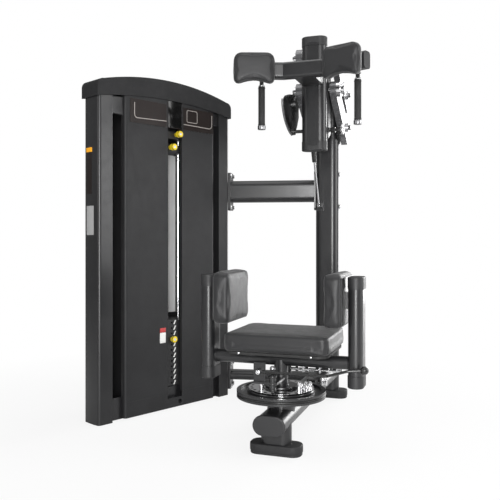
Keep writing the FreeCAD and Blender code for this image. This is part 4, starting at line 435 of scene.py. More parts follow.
LOCK_BLACK = Finish("lock_gloss_paint", "charcoal_coat", (0.012, 0.012, 0.012), 0.24, coat=0.4)
STRUT_BLACK = Finish("strut_cylinder_paint", "strut_black", (0.012, 0.012, 0.012), 0.25, coat=0.4)

NODE_FINISHES: dict[Finish, tuple[str, ...]] = {
    CHARCOAL: ("base_frame", "main_post", "upper_tie_tube", "lower_tie_tube", "strut_clevis",
               "tower_frame", "platform_frame", "thigh_tubes", "thigh_pad_plates", "turntable_bearing",
               "turntable_disc", "chest_carrier", "carrier_bracket", "chest_crossbar",
               "pad_and_grip_brackets"),
    LOCK_BLACK: ("lock_lever", "start_lever"),
    ARM_COAT: ("lower_link", "upper_link"),
    COLUMN_COAT: ("tower_left_column", "tower_right_column"),
    SHEET_COAT: ("shroud_left", "shroud_right", "rear_shroud", "tower_plinth"),
    CAP_SHELL: ("tower_cap",),
    END_CAP: ("frame_end_caps", "thigh_tube_caps", "chest_end_caps"),
    FOOT: ("feet", "stack_bumpers"),
    BOARD: ("knee_board",),
    GRIP: ("hand_grips",),
    STEEL: ("rear_pivots", "selector_stem"),
    CHROME: ("frame_bolts", "stop_pins", "guide_rods", "index_ring", "front_pivots", "strut_rod"),
    CAST: ("resting_plates", "lifted_plates"),
    CABLE: ("drive_cable", "stack_cable"),
    NYLON: ("top_pulley", "tower_lower_pulley", "corner_pulley", "rear_pulley"),
    YELLOW: ("add_weight_pin_upper", "add_weight_pin_lower", "selector_pin"),
    NOTICE: ("tower_trim",),
    STRUT_BLACK: ("strut_cylinder",),
}


class Store:
    """Keeps one material for each finish."""

    made: dict[str, bpy.types.Material] = {}

    @classmethod
    def of(cls, finish: Finish) -> bpy.types.Material:
        """The finish's material, made at its first use."""
        if finish.name not in cls.made:
            cls.made[finish.name] = finish.material()
        return cls.made[finish.name]


def rounded_outline(wide: float, tall: float, corner: float, steps: int = 7,
                    centre: tuple[float, float] = (0.0, 0.0)) -> Outline:
    """A rectangle with round corners.

    Args:
        wide: its width.
        tall: its height.
        corner: corner radius.
        steps: edges in each corner.
        centre: its middle.

    Returns:
        Its points, turning left.
    """
    points = []
    for quarter, (side, up) in enumerate(((1, 1), (-1, 1), (-1, -1), (1, -1))):
        middle_x = centre[0] + side * (wide / 2 - corner)
        middle_y = centre[1] + up * (tall / 2 - corner)
        for step in range(steps + 1):
            angle = math.pi / 2 * (quarter + step / steps)
            points.append((middle_x + corner * math.cos(angle), middle_y + corner * math.sin(angle)))
    return points


LOW_CORNER_SHARE = 0.62


def chest_outline(wide: float, tall: float, corner: float, arch: float, inset: float = 0.0) -> Outline:
    """A chest pad's face: a rounded rectangle whose lower edge is arched upwards.

    Args:
        wide: its width.
        tall: its height.
        corner: corner radius.
        arch: rise of the lower edge's middle.
        inset: how far it is drawn in.

    Returns:
        Its points, turning left.
    """
    low_corner = corner * LOW_CORNER_SHARE
    half = wide / 2 - inset - low_corner
    low = inset - tall / 2
    radius = (half * half + arch * arch) / (2.0 * arch)
    points = []
    bends = ((1, 1, corner), (-1, 1, corner), (-1, -1, low_corner), (1, -1, low_corner))
    for quarter, (side, up, bend) in enumerate(bends):
        middle = Vector((side * (wide / 2 - inset - bend), up * (tall / 2 - inset - bend)))
        for step in range(9):
            angle = math.pi / 2 * (quarter + step / 8)
            points.append((middle.x + bend * math.cos(angle), middle.y + bend * math.sin(angle)))
        if quarter == 2:
            for step in range(1, 16):
                across = half * (step / 8.0 - 1.0)
                points.append((across, low + arch - radius + math.sqrt(radius ** 2 - across ** 2)))
    return points


def piece_from(shape: bmesh.types.BMesh, name: str, smooth_angle: float = 35.0) -> bpy.types.Object:
    """Turn a built shape into an object at the origin, with its normals outward.

    Args:
        shape: the built mesh, which is freed.
        name: the object's name.
        smooth_angle: edges sharper than this many degrees stay sharp.

    Returns:
        The new object.
    """
    bmesh.ops.recalc_face_normals(shape, faces=shape.faces[:])
    mesh = bpy.data.meshes.new(name)
    shape.to_mesh(mesh)
    shape.free()
    mesh.shade_smooth()
    mesh.set_sharp_from_angle(angle=math.radians(smooth_angle))
    made = bpy.data.objects.new(name, mesh)
    bpy.context.scene.collection.objects.link(made)
    return made


def bridge(shape: bmesh.types.BMesh, low: list[bmesh.types.BMVert], high: list[bmesh.types.BMVert]) -> None:
    """Join two loops of the same number of corners with a band of faces.

    Args:
        shape: mesh to add to.
        low: corners of the first loop.
        high: corners of the second loop.
    """
    count = len(low)
    for k in range(count):
        ahead = (k + 1) % count
        shape.faces.new((low[k], low[ahead], high[ahead], high[k]))


def add_turned(shape: bmesh.types.BMesh, profile: Outline, where: Matrix, steps: int = 36,
               closed: bool = False) -> None:
    """Add a turned form to a shape.

    Args:
        shape: mesh to add to.
        profile: pairs of radius and height; a radius of 0 closes that end.
        where: placement of its axis.
        steps: sides of the turning.
        closed: whether the last pair joins the first.
    """
    rings = []
    for radius, height in profile:
        if radius < ON_AXIS:
            rings.append([shape.verts.new(where @ Vector((0.0, 0.0, height)))])
            continue
        rings.append([shape.verts.new(where @ Vector((radius * math.cos(math.tau * k / steps),
                                                      radius * math.sin(math.tau * k / steps), height)))
                      for k in range(steps)])
    pairs = list(zip(rings, rings[1:])) + ([(rings[-1], rings[0])] if closed else [])
    for low, high in pairs:
        if len(low) > 1 and len(high) > 1:
            bridge(shape, low, high)
        elif len(high) > 1:
            for k in range(steps):
                shape.faces.new((low[0], high[(k + 1) % steps], high[k]))
        elif len(low) > 1:
            for k in range(steps):
                shape.faces.new((low[k], low[(k + 1) % steps], high[0]))


def add_slab(shape: bmesh.types.BMesh, outline: Outline, low: float, high: float, where: Matrix,
             soft: float = 0.0) -> None:
    """Add an extruded outline with softened rims to a shape.

    Args:
        shape: mesh to add to.
        outline: its points in the local XY plane.
        low: start height.
        high: end height.
        where: its placement.
        soft: width of the softened rims.
    """
    part = bmesh.new()
    lower = [part.verts.new((x, y, low)) for x, y in outline]
    upper = [part.verts.new((x, y, high)) for x, y in outline]
    part.faces.new(lower)
    part.faces.new(upper)
    bridge(part, lower, upper)
    bmesh.ops.recalc_face_normals(part, faces=part.faces[:])
    if soft > 0.0:
        rims = [edge for edge in part.edges if abs(edge.verts[0].co.z - edge.verts[1].co.z) < LEVEL]
        bmesh.ops.bevel(part, geom=rims, offset=soft, segments=3, profile=0.6, affect="EDGES")
    bmesh.ops.transform(part, matrix=where, verts=part.verts[:])
    merge_into(shape, part)


def add_band(shape: bmesh.types.BMesh, outer: Outline, inner: Outline, low: float, high: float,
             where: Matrix) -> None:
    """Add a flat closed band between two outlines with the same number of points.

    Args:
        shape: mesh to add to.
        outer: outer points.
        inner: inner points.
        low: start height.
        high: end height.
        where: its placement.
    """
    levels = [[shape.verts.new(where @ Vector((x, y, z))) for x, y in points]
              for points, z in ((outer, low), (outer, high), (inner, high), (inner, low))]
    for first, second in zip(levels, levels[1:] + levels[:1]):
        bridge(shape, first, second)


def merge_into(shape: bmesh.types.BMesh, part: bmesh.types.BMesh) -> None:
    """Copy one built mesh into another and free the first."""
    scratch = bpy.data.meshes.new("scratch")
    part.to_mesh(scratch)
    part.free()
    shape.from_mesh(scratch)
    bpy.data.meshes.remove(scratch)


def path_mesh(points: list[Vector], closed: bool = False) -> bpy.types.Mesh:
    """A mesh of edges that joins points in turn.

    Args:
        points: the points.
        closed: whether the last joins the first.

    Returns:
        The mesh.
    """
    mesh = bpy.data.meshes.new("path")
    edges = [(k, k + 1) for k in range(len(points) - 1)]
    if closed:
        edges.append((len(points) - 1, 0))
    mesh.from_pydata([tuple(point) for point in points], edges, [])
    return mesh


def surface_of(made: bpy.types.Object) -> BVHTree:
    """A search tree of an object's faces."""
    return BVHTree.FromPolygons([vertex.co for vertex in made.data.vertices],
                                [tuple(polygon.vertices) for polygon in made.data.polygons])


def seated(solid: bpy.types.Object, start: Place, way: Vector) -> tuple[Vector, Vector]:
    """Where a ray from outside meets a solid, and the way back out.

    Args:
        solid: the solid that carries the piece.
        start: where the ray starts.
        way: its direction.

    Returns:
        The point on the surface and the outward direction.
    """
    spot = surface_of(solid).ray_cast(Vector(start), way)[0]
    if spot is None:
        raise RuntimeError(f"no surface of {solid.name} ahead of {start}")
    return spot, -way


def side_name(side: int) -> str:
    """The side's word: -1 is the left, 1 the right."""
    return "left" if side < 0 else "right"


def fasten(made: bpy.types.Object, finish: Finish, body: Body) -> bpy.types.Object:
    """Give a piece its finish and its body.

    Args:
        made: the piece.
        finish: its finish.
        body: the body it rides on.

    Returns:
        The piece.
    """
    made.data.materials.clear()
    made.data.materials.append(Store.of(finish))
    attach(made, body.value)
    log.info("piece %s rides on %s", made.name, body.value)
    return made


def finished(shape: bmesh.types.BMesh, name: str, finish: Finish, body: Body,
             smooth_angle: float = 35.0) -> bpy.types.Object:
    """Turn a built shape into a piece with its finish and its body.

    Args:
        shape: the built mesh, which is freed.
        name: the piece's name.
        finish: its finish.
        body: the body it rides on.
        smooth_angle: edges sharper than this many degrees stay sharp.

    Returns:
        The piece.
    """
    return fasten(piece_from(shape, name, smooth_angle), finish, body)


def rib(middle: float, radii: Place, halves: tuple[float, float]) -> Outline:
    """A rounded ring's profile for turning.

    Args:
        middle: height of its middle.
        radii: radius at its rims, at its shoulders and at its middle.
        halves: half its height at the rims and at the shoulders.

    Returns:
        Pairs of radius and height.
    """
    return [(radii[0], middle - halves[0]), (radii[1], middle - halves[1]), (radii[2], middle),
            (radii[1], middle + halves[1]), (radii[0], middle + halves[0])]


class FormTree(NodeWork):
    """A small geometry tree with named inputs."""

    def __init__(self, name: str, inputs: tuple[tuple[str, str], ...]) -> None:
        """Start the tree.

        Args:
            name: the tree's name.
            inputs: pairs of input name and socket type.
        """
        self.tree = bpy.data.node_groups.new(name, "GeometryNodeTree")
        self.tree.interface.new_socket("Geometry", in_out="OUTPUT", socket_type="NodeSocketGeometry")
        self.tree.interface.new_socket("Geometry", in_out="INPUT", socket_type="NodeSocketGeometry")
        for label, kind in inputs:
            self.tree.interface.new_socket(label, in_out="INPUT", socket_type=kind)
        self.start = self.node("NodeGroupInput")
        self.end = self.node("NodeGroupOutput")

    def grow(self, name: str, source: bpy.types.Mesh, values: dict[str, object]) -> bpy.types.Object:
        """Run the tree on a mesh and keep the result as a plain object.

        Args:
            name: the new object's name.
            source: points or edges to work on.
            values: input values by name.

        Returns:
            The new object.
        """
        holder = bpy.data.objects.new(name + "_source", source)
        bpy.context.scene.collection.objects.link(holder)
        modifier = holder.modifiers.new("Form", "NODES")
        modifier.node_group = self.tree
        for item in self.tree.interface.items_tree:
            if item.in_out == "INPUT" and item.name in values:
                modifier[item.identifier] = values[item.name]
        graph = bpy.context.evaluated_depsgraph_get()
        mesh = bpy.data.meshes.new_from_object(holder.evaluated_get(graph), depsgraph=graph)
        holder.modifiers.remove(modifier)
        bpy.data.objects.remove(holder)
        mesh.name = name
        made = bpy.data.objects.new(name, mesh)
        bpy.context.scene.collection.objects.link(made)
        return made


class BeadTree(FormTree):
    """A bead of round section along a path: weld seams and sewn cords."""

    def __init__(self) -> None:
        """Build the nodes: path, even steps, rippled radius, round section, finish."""
        super().__init__("bead_along_path", (("Radius", "NodeSocketFloat"), ("Step", "NodeSocketFloat"),
                                             ("Ripple", "NodeSocketFloat"), ("Seed", "NodeSocketInt"),
                                             ("Finish", "NodeSocketMaterial")))
        path = self.node("GeometryNodeMeshToCurve")
        even = self.node("GeometryNodeResampleCurve", mode="LENGTH")
        chance = self.node("FunctionNodeRandomValue", data_type="FLOAT")
        spread = self.node("ShaderNodeMath", operation="MULTIPLY_ADD")
        radius = self.node("ShaderNodeMath", operation="MULTIPLY")
        widths = self.node("GeometryNodeSetCurveRadius")
        section = self.node("GeometryNodeCurvePrimitiveCircle")
        swept = self.node("GeometryNodeCurveToMesh")
        smooth = self.node("GeometryNodeSetShadeSmooth")
        real = self.node("GeometryNodeRealizeInstances")
        paint = self.node("GeometryNodeSetMaterial")
        section.inputs["Resolution"].default_value = 10
        section.inputs["Radius"].default_value = 1.0
        swept.inputs["Fill Caps"].default_value = True
        source = self.start.outputs
        self.wire(
            (source["Geometry"], path.inputs["Mesh"]),
            (path.outputs["Curve"], even.inputs["Curve"]),
            (source["Step"], even.inputs["Length"]),
            (source["Seed"], chance.inputs["Seed"]),
            (chance.outputs[1], spread.inputs[0]),
            (source["Ripple"], spread.inputs[1]))
        spread.inputs[2].default_value = 1.0
        self.join(spread.outputs[0], radius.inputs[0])
        self.wire(
            (source["Radius"], radius.inputs[1]),
            (even.outputs["Curve"], widths.inputs["Curve"]),
            (radius.outputs[0], widths.inputs["Radius"]),
            (widths.outputs["Curve"], swept.inputs["Curve"]),
            (section.outputs["Curve"], swept.inputs["Profile Curve"]))
        if "Scale" in swept.inputs:
            self.join(radius.outputs[0], swept.inputs["Scale"])
        self.join(swept.outputs["Mesh"], smooth.inputs["Geometry"])
        self.join(smooth.outputs["Geometry"], real.inputs["Geometry"])
        self.join(real.outputs["Geometry"], paint.inputs["Geometry"])
        self.join(source["Finish"], paint.inputs["Material"])
        self.join(paint.outputs["Geometry"], self.end.inputs["Geometry"])


class FastenerTree(FormTree):
    """One small part set on many points, each turned by its point's aim and by chance about it."""

    def __init__(self) -> None:
        """Build the nodes: aim, chance turn, instances, finish."""
        super().__init__("fasteners_on_points", (("Part", "NodeSocketObject"), ("Size", "NodeSocketFloat"),
                                                 ("Loose Turn", "NodeSocketFloat"), ("Seed", "NodeSocketInt"),
                                                 ("Finish", "NodeSocketMaterial")))
        aim = self.node("GeometryNodeInputNamedAttribute", data_type="FLOAT_VECTOR")
        aim.inputs["Name"].default_value = "aim"
        facing = self.node("FunctionNodeAlignRotationToVector", axis="Z")
        chance = self.node("FunctionNodeRandomValue", data_type="FLOAT")
        about = self.node("FunctionNodeAxisAngleToRotation")
        about.inputs["Axis"].default_value = (0.0, 0.0, 1.0)
        turned = self.node("FunctionNodeRotateRotation", rotation_space="LOCAL")
        info = self.node("GeometryNodeObjectInfo", transform_space="ORIGINAL")
        info.inputs["As Instance"].default_value = True
        placed = self.node("GeometryNodeInstanceOnPoints")
        real = self.node("GeometryNodeRealizeInstances")
        paint = self.node("GeometryNodeSetMaterial")
        source = self.start.outputs
        self.wire(
            (aim.outputs["Attribute"], facing.inputs["Vector"]),
            (source["Loose Turn"], chance.inputs[3]),
            (source["Seed"], chance.inputs["Seed"]),
            (chance.outputs[1], about.inputs["Angle"]),
            (facing.outputs["Rotation"], turned.inputs["Rotation"]),
            (about.outputs["Rotation"], turned.inputs["Rotate By"]),
            (source["Part"], info.inputs["Object"]),
            (source["Geometry"], placed.inputs["Points"]),
            (info.outputs["Geometry"], placed.inputs["Instance"]),
            (turned.outputs["Rotation"], placed.inputs["Rotation"]),
            (source["Size"], placed.inputs["Scale"]),
            (placed.outputs["Instances"], real.inputs["Geometry"]),
            (real.outputs["Geometry"], paint.inputs["Geometry"]),
            (source["Finish"], paint.inputs["Material"]),
            (paint.outputs["Geometry"], self.end.inputs["Geometry"]))


class Fastener(Enum):
    """Small parts that are set on points."""

    SOCKET_SCREW = "socket_screw"
    HEX_BOLT = "hex_bolt"


# Profiles of fasteners with a radius of 1
SOCKET_PROFILE = [(0.0, 0.0), (1.0, 0.0), (1.0, 0.25), (0.9, 0.45), (0.55, 0.62), (0.48, 0.62),
                  (0.44, 0.25), (0.0, 0.2)]
FLANGE_PROFILE = [(0.0, 0.0), (1.25, 0.0), (1.28, 0.08), (1.22, 0.17), (0.0, 0.17)]
HEXAGON = [(math.cos(math.tau * k / 6), math.sin(math.tau * k / 6)) for k in range(6)]
HEAD_LOW, HEAD_HIGH, HEAD_SOFT = 0.16, 0.72, 0.07


class Workshop:
    """Holds the geometry trees and the fasteners' patterns."""

    def __init__(self) -> None:
        """Make the trees once."""
        self.bead = BeadTree()
        self.set_on = FastenerTree()
        self.patterns: dict[Fastener, bpy.types.Object] = {}

    def pattern(self, kind: Fastener) -> bpy.types.Object:
        """The fastener's pattern, of unit radius and facing +Z.

        Args:
            kind: which fastener.

        Returns:
            Its pattern object.
        """
        if kind in self.patterns:
            return self.patterns[kind]
        shape = bmesh.new()
        flat = Matrix.Identity(4)
        if kind is Fastener.SOCKET_SCREW:
            add_turned(shape, SOCKET_PROFILE, flat, 24)
        else:
            add_slab(shape, HEXAGON, HEAD_LOW, HEAD_HIGH, flat, HEAD_SOFT)
            add_turned(shape, FLANGE_PROFILE, flat, 28)
        made = piece_from(shape, "pattern_" + kind.value)
        made.hide_render = True
        self.patterns[kind] = made
        return made

    def put(self, name: str, kind: Fastener, spots: list[tuple[Vector, Vector]], size: float,
            finish: Finish, body: Body, loose: float = 1.0) -> bpy.types.Object:
        """Set a fastener on points.

        Args:
            name: the piece's name.
            kind: which fastener.
            spots: pairs of point and outward direction.
            size: the fastener's radius.
            finish: its finish.
            body: the body it rides on.
            loose: most chance turn, in radians.

        Returns:
            The piece.
        """
        mesh = bpy.data.meshes.new(name + "_spots")
        mesh.from_pydata([tuple(point) for point, _ in spots], [], [])
        aim = mesh.attributes.new("aim", "FLOAT_VECTOR", "POINT")
        aim.data.foreach_set("vector", [part for _, way in spots for part in way.normalized()])
        made = self.set_on.grow(name, mesh, {"Part": self.pattern(kind), "Size": size, "Loose Turn": loose,
                                             "Seed": 3, "Finish": Store.of(finish)})
        return fasten(made, finish, body)

    def lay(self, name: str, points: list[Vector], radius: float, finish: Finish, body: Body,
            closed: bool = False, ripple: float = 0.0, step: float = 0.004) -> bpy.types.Object:
        """Lay a bead along points.

        Args:
            name: the piece's name.
            points: the path.
            radius: the bead's radius.
            finish: its finish.
            body: the body it rides on.
            closed: whether the path is a loop.
            ripple: share by which the radius varies.
            step: length between sections.

        Returns:
            The piece.
        """
        made = self.bead.grow(name, path_mesh(points, closed), {
            "Radius": radius, "Step": step, "Ripple": ripple, "Seed": 5, "Finish": Store.of(finish)})
        return fasten(made, finish, body)


@dataclass(frozen=True)
class Lamp:
    """One soft lamp: where it hangs and points, its width and height, and its power in watts."""

    name: str
    place: Place
    target: Place
    size: tuple[float, float]
    power: float

    def hang(self) -> None:
        """Hang the lamp in the scene."""
        data = bpy.data.lights.new(self.name, "AREA")
        data.shape = "RECTANGLE"
        data.size, data.size_y = self.size
        data.energy = self.power
        made = bpy.data.objects.new(self.name, data)
        made.location = self.place
        way = Vector(self.target) - Vector(self.place)
        made.rotation_euler = way.to_track_quat("-Z", "Y").to_euler()
        bpy.context.scene.collection.objects.link(made)


LAMPS = (
    Lamp("lamp_right", (3.2, 0.7, 1.7), (0.0, 0.4, 0.9), (1.6, 2.6), 54.0),
    Lamp("lamp_left", (-2.6, -2.4, 2.0), (-0.2, 0.3, 0.9), (1.8, 2.2), 16.0),
    Lamp("lamp_front", (1.4, -3.4, 2.4), (0.0, 0.3, 0.9), (2.4, 1.8), 36.0),
    Lamp("lamp_slot", (1.0, -3.5, 0.9), (-0.60, 0.44, 0.85), (0.9, 1.6), 108.0),
    Lamp("lamp_top", (0.0, 0.2, 3.6), (0.0, 0.4, 0.0), (3.0, 3.0), 46.0),
    Lamp("lamp_back", (1.6, 4.0, 1.4), (0.0, 0.4, 0.8), (1.8, 2.6), 90.0),
)


@dataclass
class Studio:
    """Camera, lamps, world and floor."""

    camera_place: Place = (0.6723, -2.2807, 0.79)
    azimuth: float = 18.746
    lens: float = 46.90
    sensor: float = 36.0
    horizon_shift: float = -0.028
    sky: float = 0.16
    sky_gloss: float = 0.12
    floor_half: float = 14.0
    floor_drop: float = 0.0005
    floor_fade: tuple[float, float] = (1.0, 2.4)
    floor_white: float = 0.84

    def camera(self) -> None:
        """Set the camera at the photograph's view."""
        data = bpy.data.cameras.new("camera")
        data.lens = self.lens
        data.sensor_width = self.sensor
        data.sensor_fit = "HORIZONTAL"
        data.shift_y = self.horizon_shift
        data.clip_end = 100.0
        made = bpy.data.objects.new("camera", data)
        made.location = self.camera_place
        made.rotation_euler = (math.radians(90.0), 0.0, math.radians(self.azimuth))
        bpy.context.scene.collection.objects.link(made)
        bpy.context.scene.camera = made

    def world(self) -> None:
        """White to the camera, dim in reflections and soft grey light on the object."""
        world = bpy.data.worlds.new("studio")
        bpy.context.scene.world = world
        world.use_nodes = True
        work = NodeWork()
        work.tree = world.node_tree
        work.tree.nodes.clear()
        out = work.node("ShaderNodeOutputWorld")
        path = work.node("ShaderNodeLightPath").outputs
        white = work.node("ShaderNodeBackground")
        soft = work.node("ShaderNodeBackground")
        for light, strength in ((white, 1.0), (soft, self.sky)):
            light.inputs["Color"].default_value = WHITE
            light.inputs["Strength"].default_value = strength
        seen = work.node("ShaderNodeMath", operation="MAXIMUM")
        work.join(path["Is Camera Ray"], seen.inputs[0])
        work.join(path["Is Transmission Ray"], seen.inputs[1])
        either = work.node("ShaderNodeMix", data_type="FLOAT")
        work.join(path["Is Glossy Ray"], either.inputs[0])
        work.join(seen.outputs[0], either.inputs[2])
        either.inputs[3].default_value = self.sky_gloss
        mix = work.node("ShaderNodeMixShader")
        for source, socket in zip((either, soft, white), mix.inputs):
            work.join(source.outputs[0], socket)
        work.join(mix.outputs[0], out.inputs["Surface"])

    def floor(self) -> None:
        """A pale floor that keeps the object's shadow and turns white far away."""
        shape = bmesh.new()
        bmesh.ops.create_grid(shape, x_segments=24, y_segments=24, size=self.floor_half)
        made = piece_from(shape, "studio_floor")
        for vertex in made.data.vertices:
            vertex.co.z = -self.floor_drop
        bench = Bench("pale_floor")
        bench.shader.inputs["Roughness"].default_value = 0.9
        bench.shader.inputs["Specular IOR Level"].default_value = 0.1
        tone = bench.spread(bench.noise(0.6, 2.0), 0.3, 0.7, 0.0, 1.0)
        pale = bench.blend(tone, (0.90, 0.90, 0.90), (0.93, 0.93, 0.93))
        bench.join(pale, bench.shader.inputs["Base Color"])
        far = bench.node("ShaderNodeVectorMath", operation="LENGTH")
        bench.join(bench.stretched((1.0, 1.0, 0.0)), far.inputs[0])
        fade = bench.spread(far.outputs["Value"], *self.floor_fade, self.floor_white, 1.0)
        light = bench.node("ShaderNodeLightPath")
        seen = bench.node("ShaderNodeMath", operation="MULTIPLY")
        bench.join(fade, seen.inputs[0])
        bench.join(light.outputs["Is Camera Ray"], seen.inputs[1])
        white = bench.node("ShaderNodeEmission")
        white.inputs["Color"].default_value = WHITE
        mix = bench.node("ShaderNodeMixShader")
        bench.join(seen.outputs[0], mix.inputs[0])
        bench.join(bench.shader.outputs["BSDF"], mix.inputs[1])
        bench.join(white.outputs["Emission"], mix.inputs[2])
        bench.join(mix.outputs["Shader"], bench.output.inputs["Surface"])
        made.data.materials.append(bench.material)

    def build(self) -> None:
        """Set up the whole studio."""
        self.camera()
        self.world()
        self.floor()
        for lamp in LAMPS:
            lamp.hang()
        bpy.context.scene.view_settings.view_transform = "Standard"


# Pairs of height and drawn-in width: at a pad's back, and under its face
BACK_LEVELS = ((0.0, 0.010), (0.003, 0.006), (0.010, 0.003))
FACE_LEVELS = ((0.012, 0.0005), (0.005, 0.002), (0.0015, 0.0055))
WIDEST_SHARE = 0.35
# Pairs of width share and crown share of the rings on a pad's face
CROWN_RINGS = ((0.86, 0.35), (0.6, 0.75), (0.3, 0.95))

PUFF_FRAMES = 20
PUFF_QUALITY = 5
CLOTH_MASS = 0.3
CLOTH_STIFFNESS = 25.0

SEAM_REACH = 0.009
SEAM_PULL = 0.0016
SEAM_STEP = 0.006
SEAM_RADIUS = 0.0011
SEAM_RIPPLE = 0.05


@dataclass
class Cushion:
    """A stuffed pad: its closed form, its puffed surface and its sewn seam."""

    name: str
    node: str
    body: Body
    outline: Outline
    face: Outline
    thick: float
    where: Matrix
    voxel: float = 0.005
    swell: float = 0.0018
    cap: float = 0.0028
    pressure: float = 4.0
    crown: float = 0.003
    fill: float = 0.85

    def rough_form(self) -> bpy.types.Object:
        """The closed form before it is puffed: drawn-in back, full sides and a rounded front.

        Returns:
            The new object, in the machine's frame.
        """
        shape = bmesh.new()
        count = len(self.outline)
        middle = Vector((sum(x for x, _ in self.outline), sum(y for _, y in self.outline), 0.0)) / count
        levels = [*BACK_LEVELS, (self.thick * WIDEST_SHARE, 0.0)]
        levels += [(self.thick - under, drawn) for under, drawn in FACE_LEVELS]
        loops = []
        for height, drawn in levels:
            loop = []
            for x, y in self.outline:
                away = Vector((x - middle.x, y - middle.y, 0.0))
                inward = away.normalized() * min(drawn + self.swell, away.length * 0.4)
                loop.append(shape.verts.new(Vector((x, y, height)) - inward))
            loops.append(loop)
        for low, high in zip(loops, loops[1:]):
            bridge(shape, low, high)
        shape.faces.new(loops[0])
        rim = loops[-1]
        for share, rise in CROWN_RINGS:
            height = self.thick - FACE_LEVELS[-1][0] + self.crown * rise
            ring = [shape.verts.new(Vector((middle.x + (vertex.co.x - middle.x) * share,
                                            middle.y + (vertex.co.y - middle.y) * share, height)))
                    for vertex in loops[-1]]
            bridge(shape, rim, ring)
            rim = ring
        shape.faces.new(rim)
        bmesh.ops.transform(shape, matrix=self.where, verts=shape.verts[:])
        return piece_from(shape, self.name, 80.0)

    def remeshed(self, made: bpy.types.Object) -> None:
        """Give the pad an even skin of small squares."""
        modifier = made.modifiers.new("Skin", "REMESH")
        modifier.mode = "VOXEL"
        modifier.voxel_size = self.voxel
        self.keep(made)

    def keep(self, made: bpy.types.Object) -> None:
        """Put the modifiers' result in the object's own mesh and take them off."""
        graph = bpy.context.evaluated_depsgraph_get()
        mesh = bpy.data.meshes.new_from_object(made.evaluated_get(graph), depsgraph=graph)
        made.modifiers.clear()
        made.data = mesh

    def puff(self, made: bpy.types.Object) -> None:
        """Blow the pad up as cloth, with its back held, and cap how far it moves."""
        back = made.vertex_groups.new(name="held")
        inverse = self.where.inverted()
        rest = [vertex.co.copy() for vertex in made.data.vertices]
        held = [k for k, point in enumerate(rest) if (inverse @ point).z < self.voxel * 0.9]
        back.add(held, 1.0, "REPLACE")
        cloth = made.modifiers.new("Puff", "CLOTH")
        settings = cloth.settings
        settings.quality = PUFF_QUALITY
        settings.mass = CLOTH_MASS
        settings.vertex_group_mass = back.name
        settings.use_pressure = True
        settings.uniform_pressure_force = self.pressure
        settings.effector_weights.gravity = 0.0
        settings.tension_stiffness = CLOTH_STIFFNESS
        settings.compression_stiffness = CLOTH_STIFFNESS
        cloth.point_cache.frame_start = 1
        cloth.point_cache.frame_end = PUFF_FRAMES
        scene = bpy.context.scene
        for frame in range(1, PUFF_FRAMES + 1):
            scene.frame_set(frame)
        graph = bpy.context.evaluated_depsgraph_get()
        soft = made.evaluated_get(graph).to_mesh()
        moved = [vertex.co.copy() for vertex in soft.vertices]
        made.evaluated_get(graph).to_mesh_clear()
        made.modifiers.clear()
        made.vertex_groups.clear()
        for vertex, start, end in zip(made.data.vertices, rest, moved):
            step = end - start
            if step.length > self.cap:
                step *= self.cap / step.length
            vertex.co = start + step
        scene.frame_set(1)

    def pressed(self, made: bpy.types.Object, seam: list[Vector]) -> None:
        """Draw the skin in along the seam and keep the back flat.

        Args:
            made: the pad.
            seam: the seam's points in the machine's frame.
        """
        inverse = self.where.inverted()
        local = [inverse @ point for point in seam]
        for vertex in made.data.vertices:
            point = inverse @ vertex.co
            near = min((point - other).length for other in local)
            if near < SEAM_REACH:
                inward = Vector((-point.x, -point.y, 0.0)).normalized() * 0.4 + Vector((0.0, 0.0, -0.6))
                point += inward * SEAM_PULL * (1.0 - near / SEAM_REACH) ** 2
            point.z = max(point.z, 0.0)
            vertex.co = self.where @ point

    def seam_points(self, made: bpy.types.Object) -> list[Vector]:
        """The front seam's points on the pad's surface.

        Args:
            made: the pad.

        Returns:
            The points, as a loop.
        """
        tree = surface_of(made)
        points = []
        count = len(self.face)
        for k in range(count):
            (x, y), (next_x, next_y) = self.face[k], self.face[(k + 1) % count]
            steps = max(1, int(math.hypot(next_x - x, next_y - y) / SEAM_STEP))
            for step in range(steps):
                share = step / steps
                guess = self.where @ Vector((x + (next_x - x) * share, y + (next_y - y) * share,
                                             self.thick - 0.002))
                points.append(tree.find_nearest(guess)[0])
        return points

    def build(self, workshop: Workshop) -> None:
        """Make the pad, puff it, sew it and set it in place of its solid.

        Args:
            workshop: trees for the seams.
        """
        made = self.rough_form()
        self.remeshed(made)
        self.puff(made)
        self.pressed(made, self.seam_points(made))
        subdivide = made.modifiers.new("Smooth", "SUBSURF")
        subdivide.levels = 1
        subdivide.render_levels = 1
        self.keep(made)
        made.data.shade_smooth()
        fasten(made, VINYL, self.body)
        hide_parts(self.node)
        seam = self.seam_points(made)
        workshop.lay(self.name + "_seam", seam, SEAM_RADIUS, SEAM, self.body, True, SEAM_RIPPLE, 0.003)


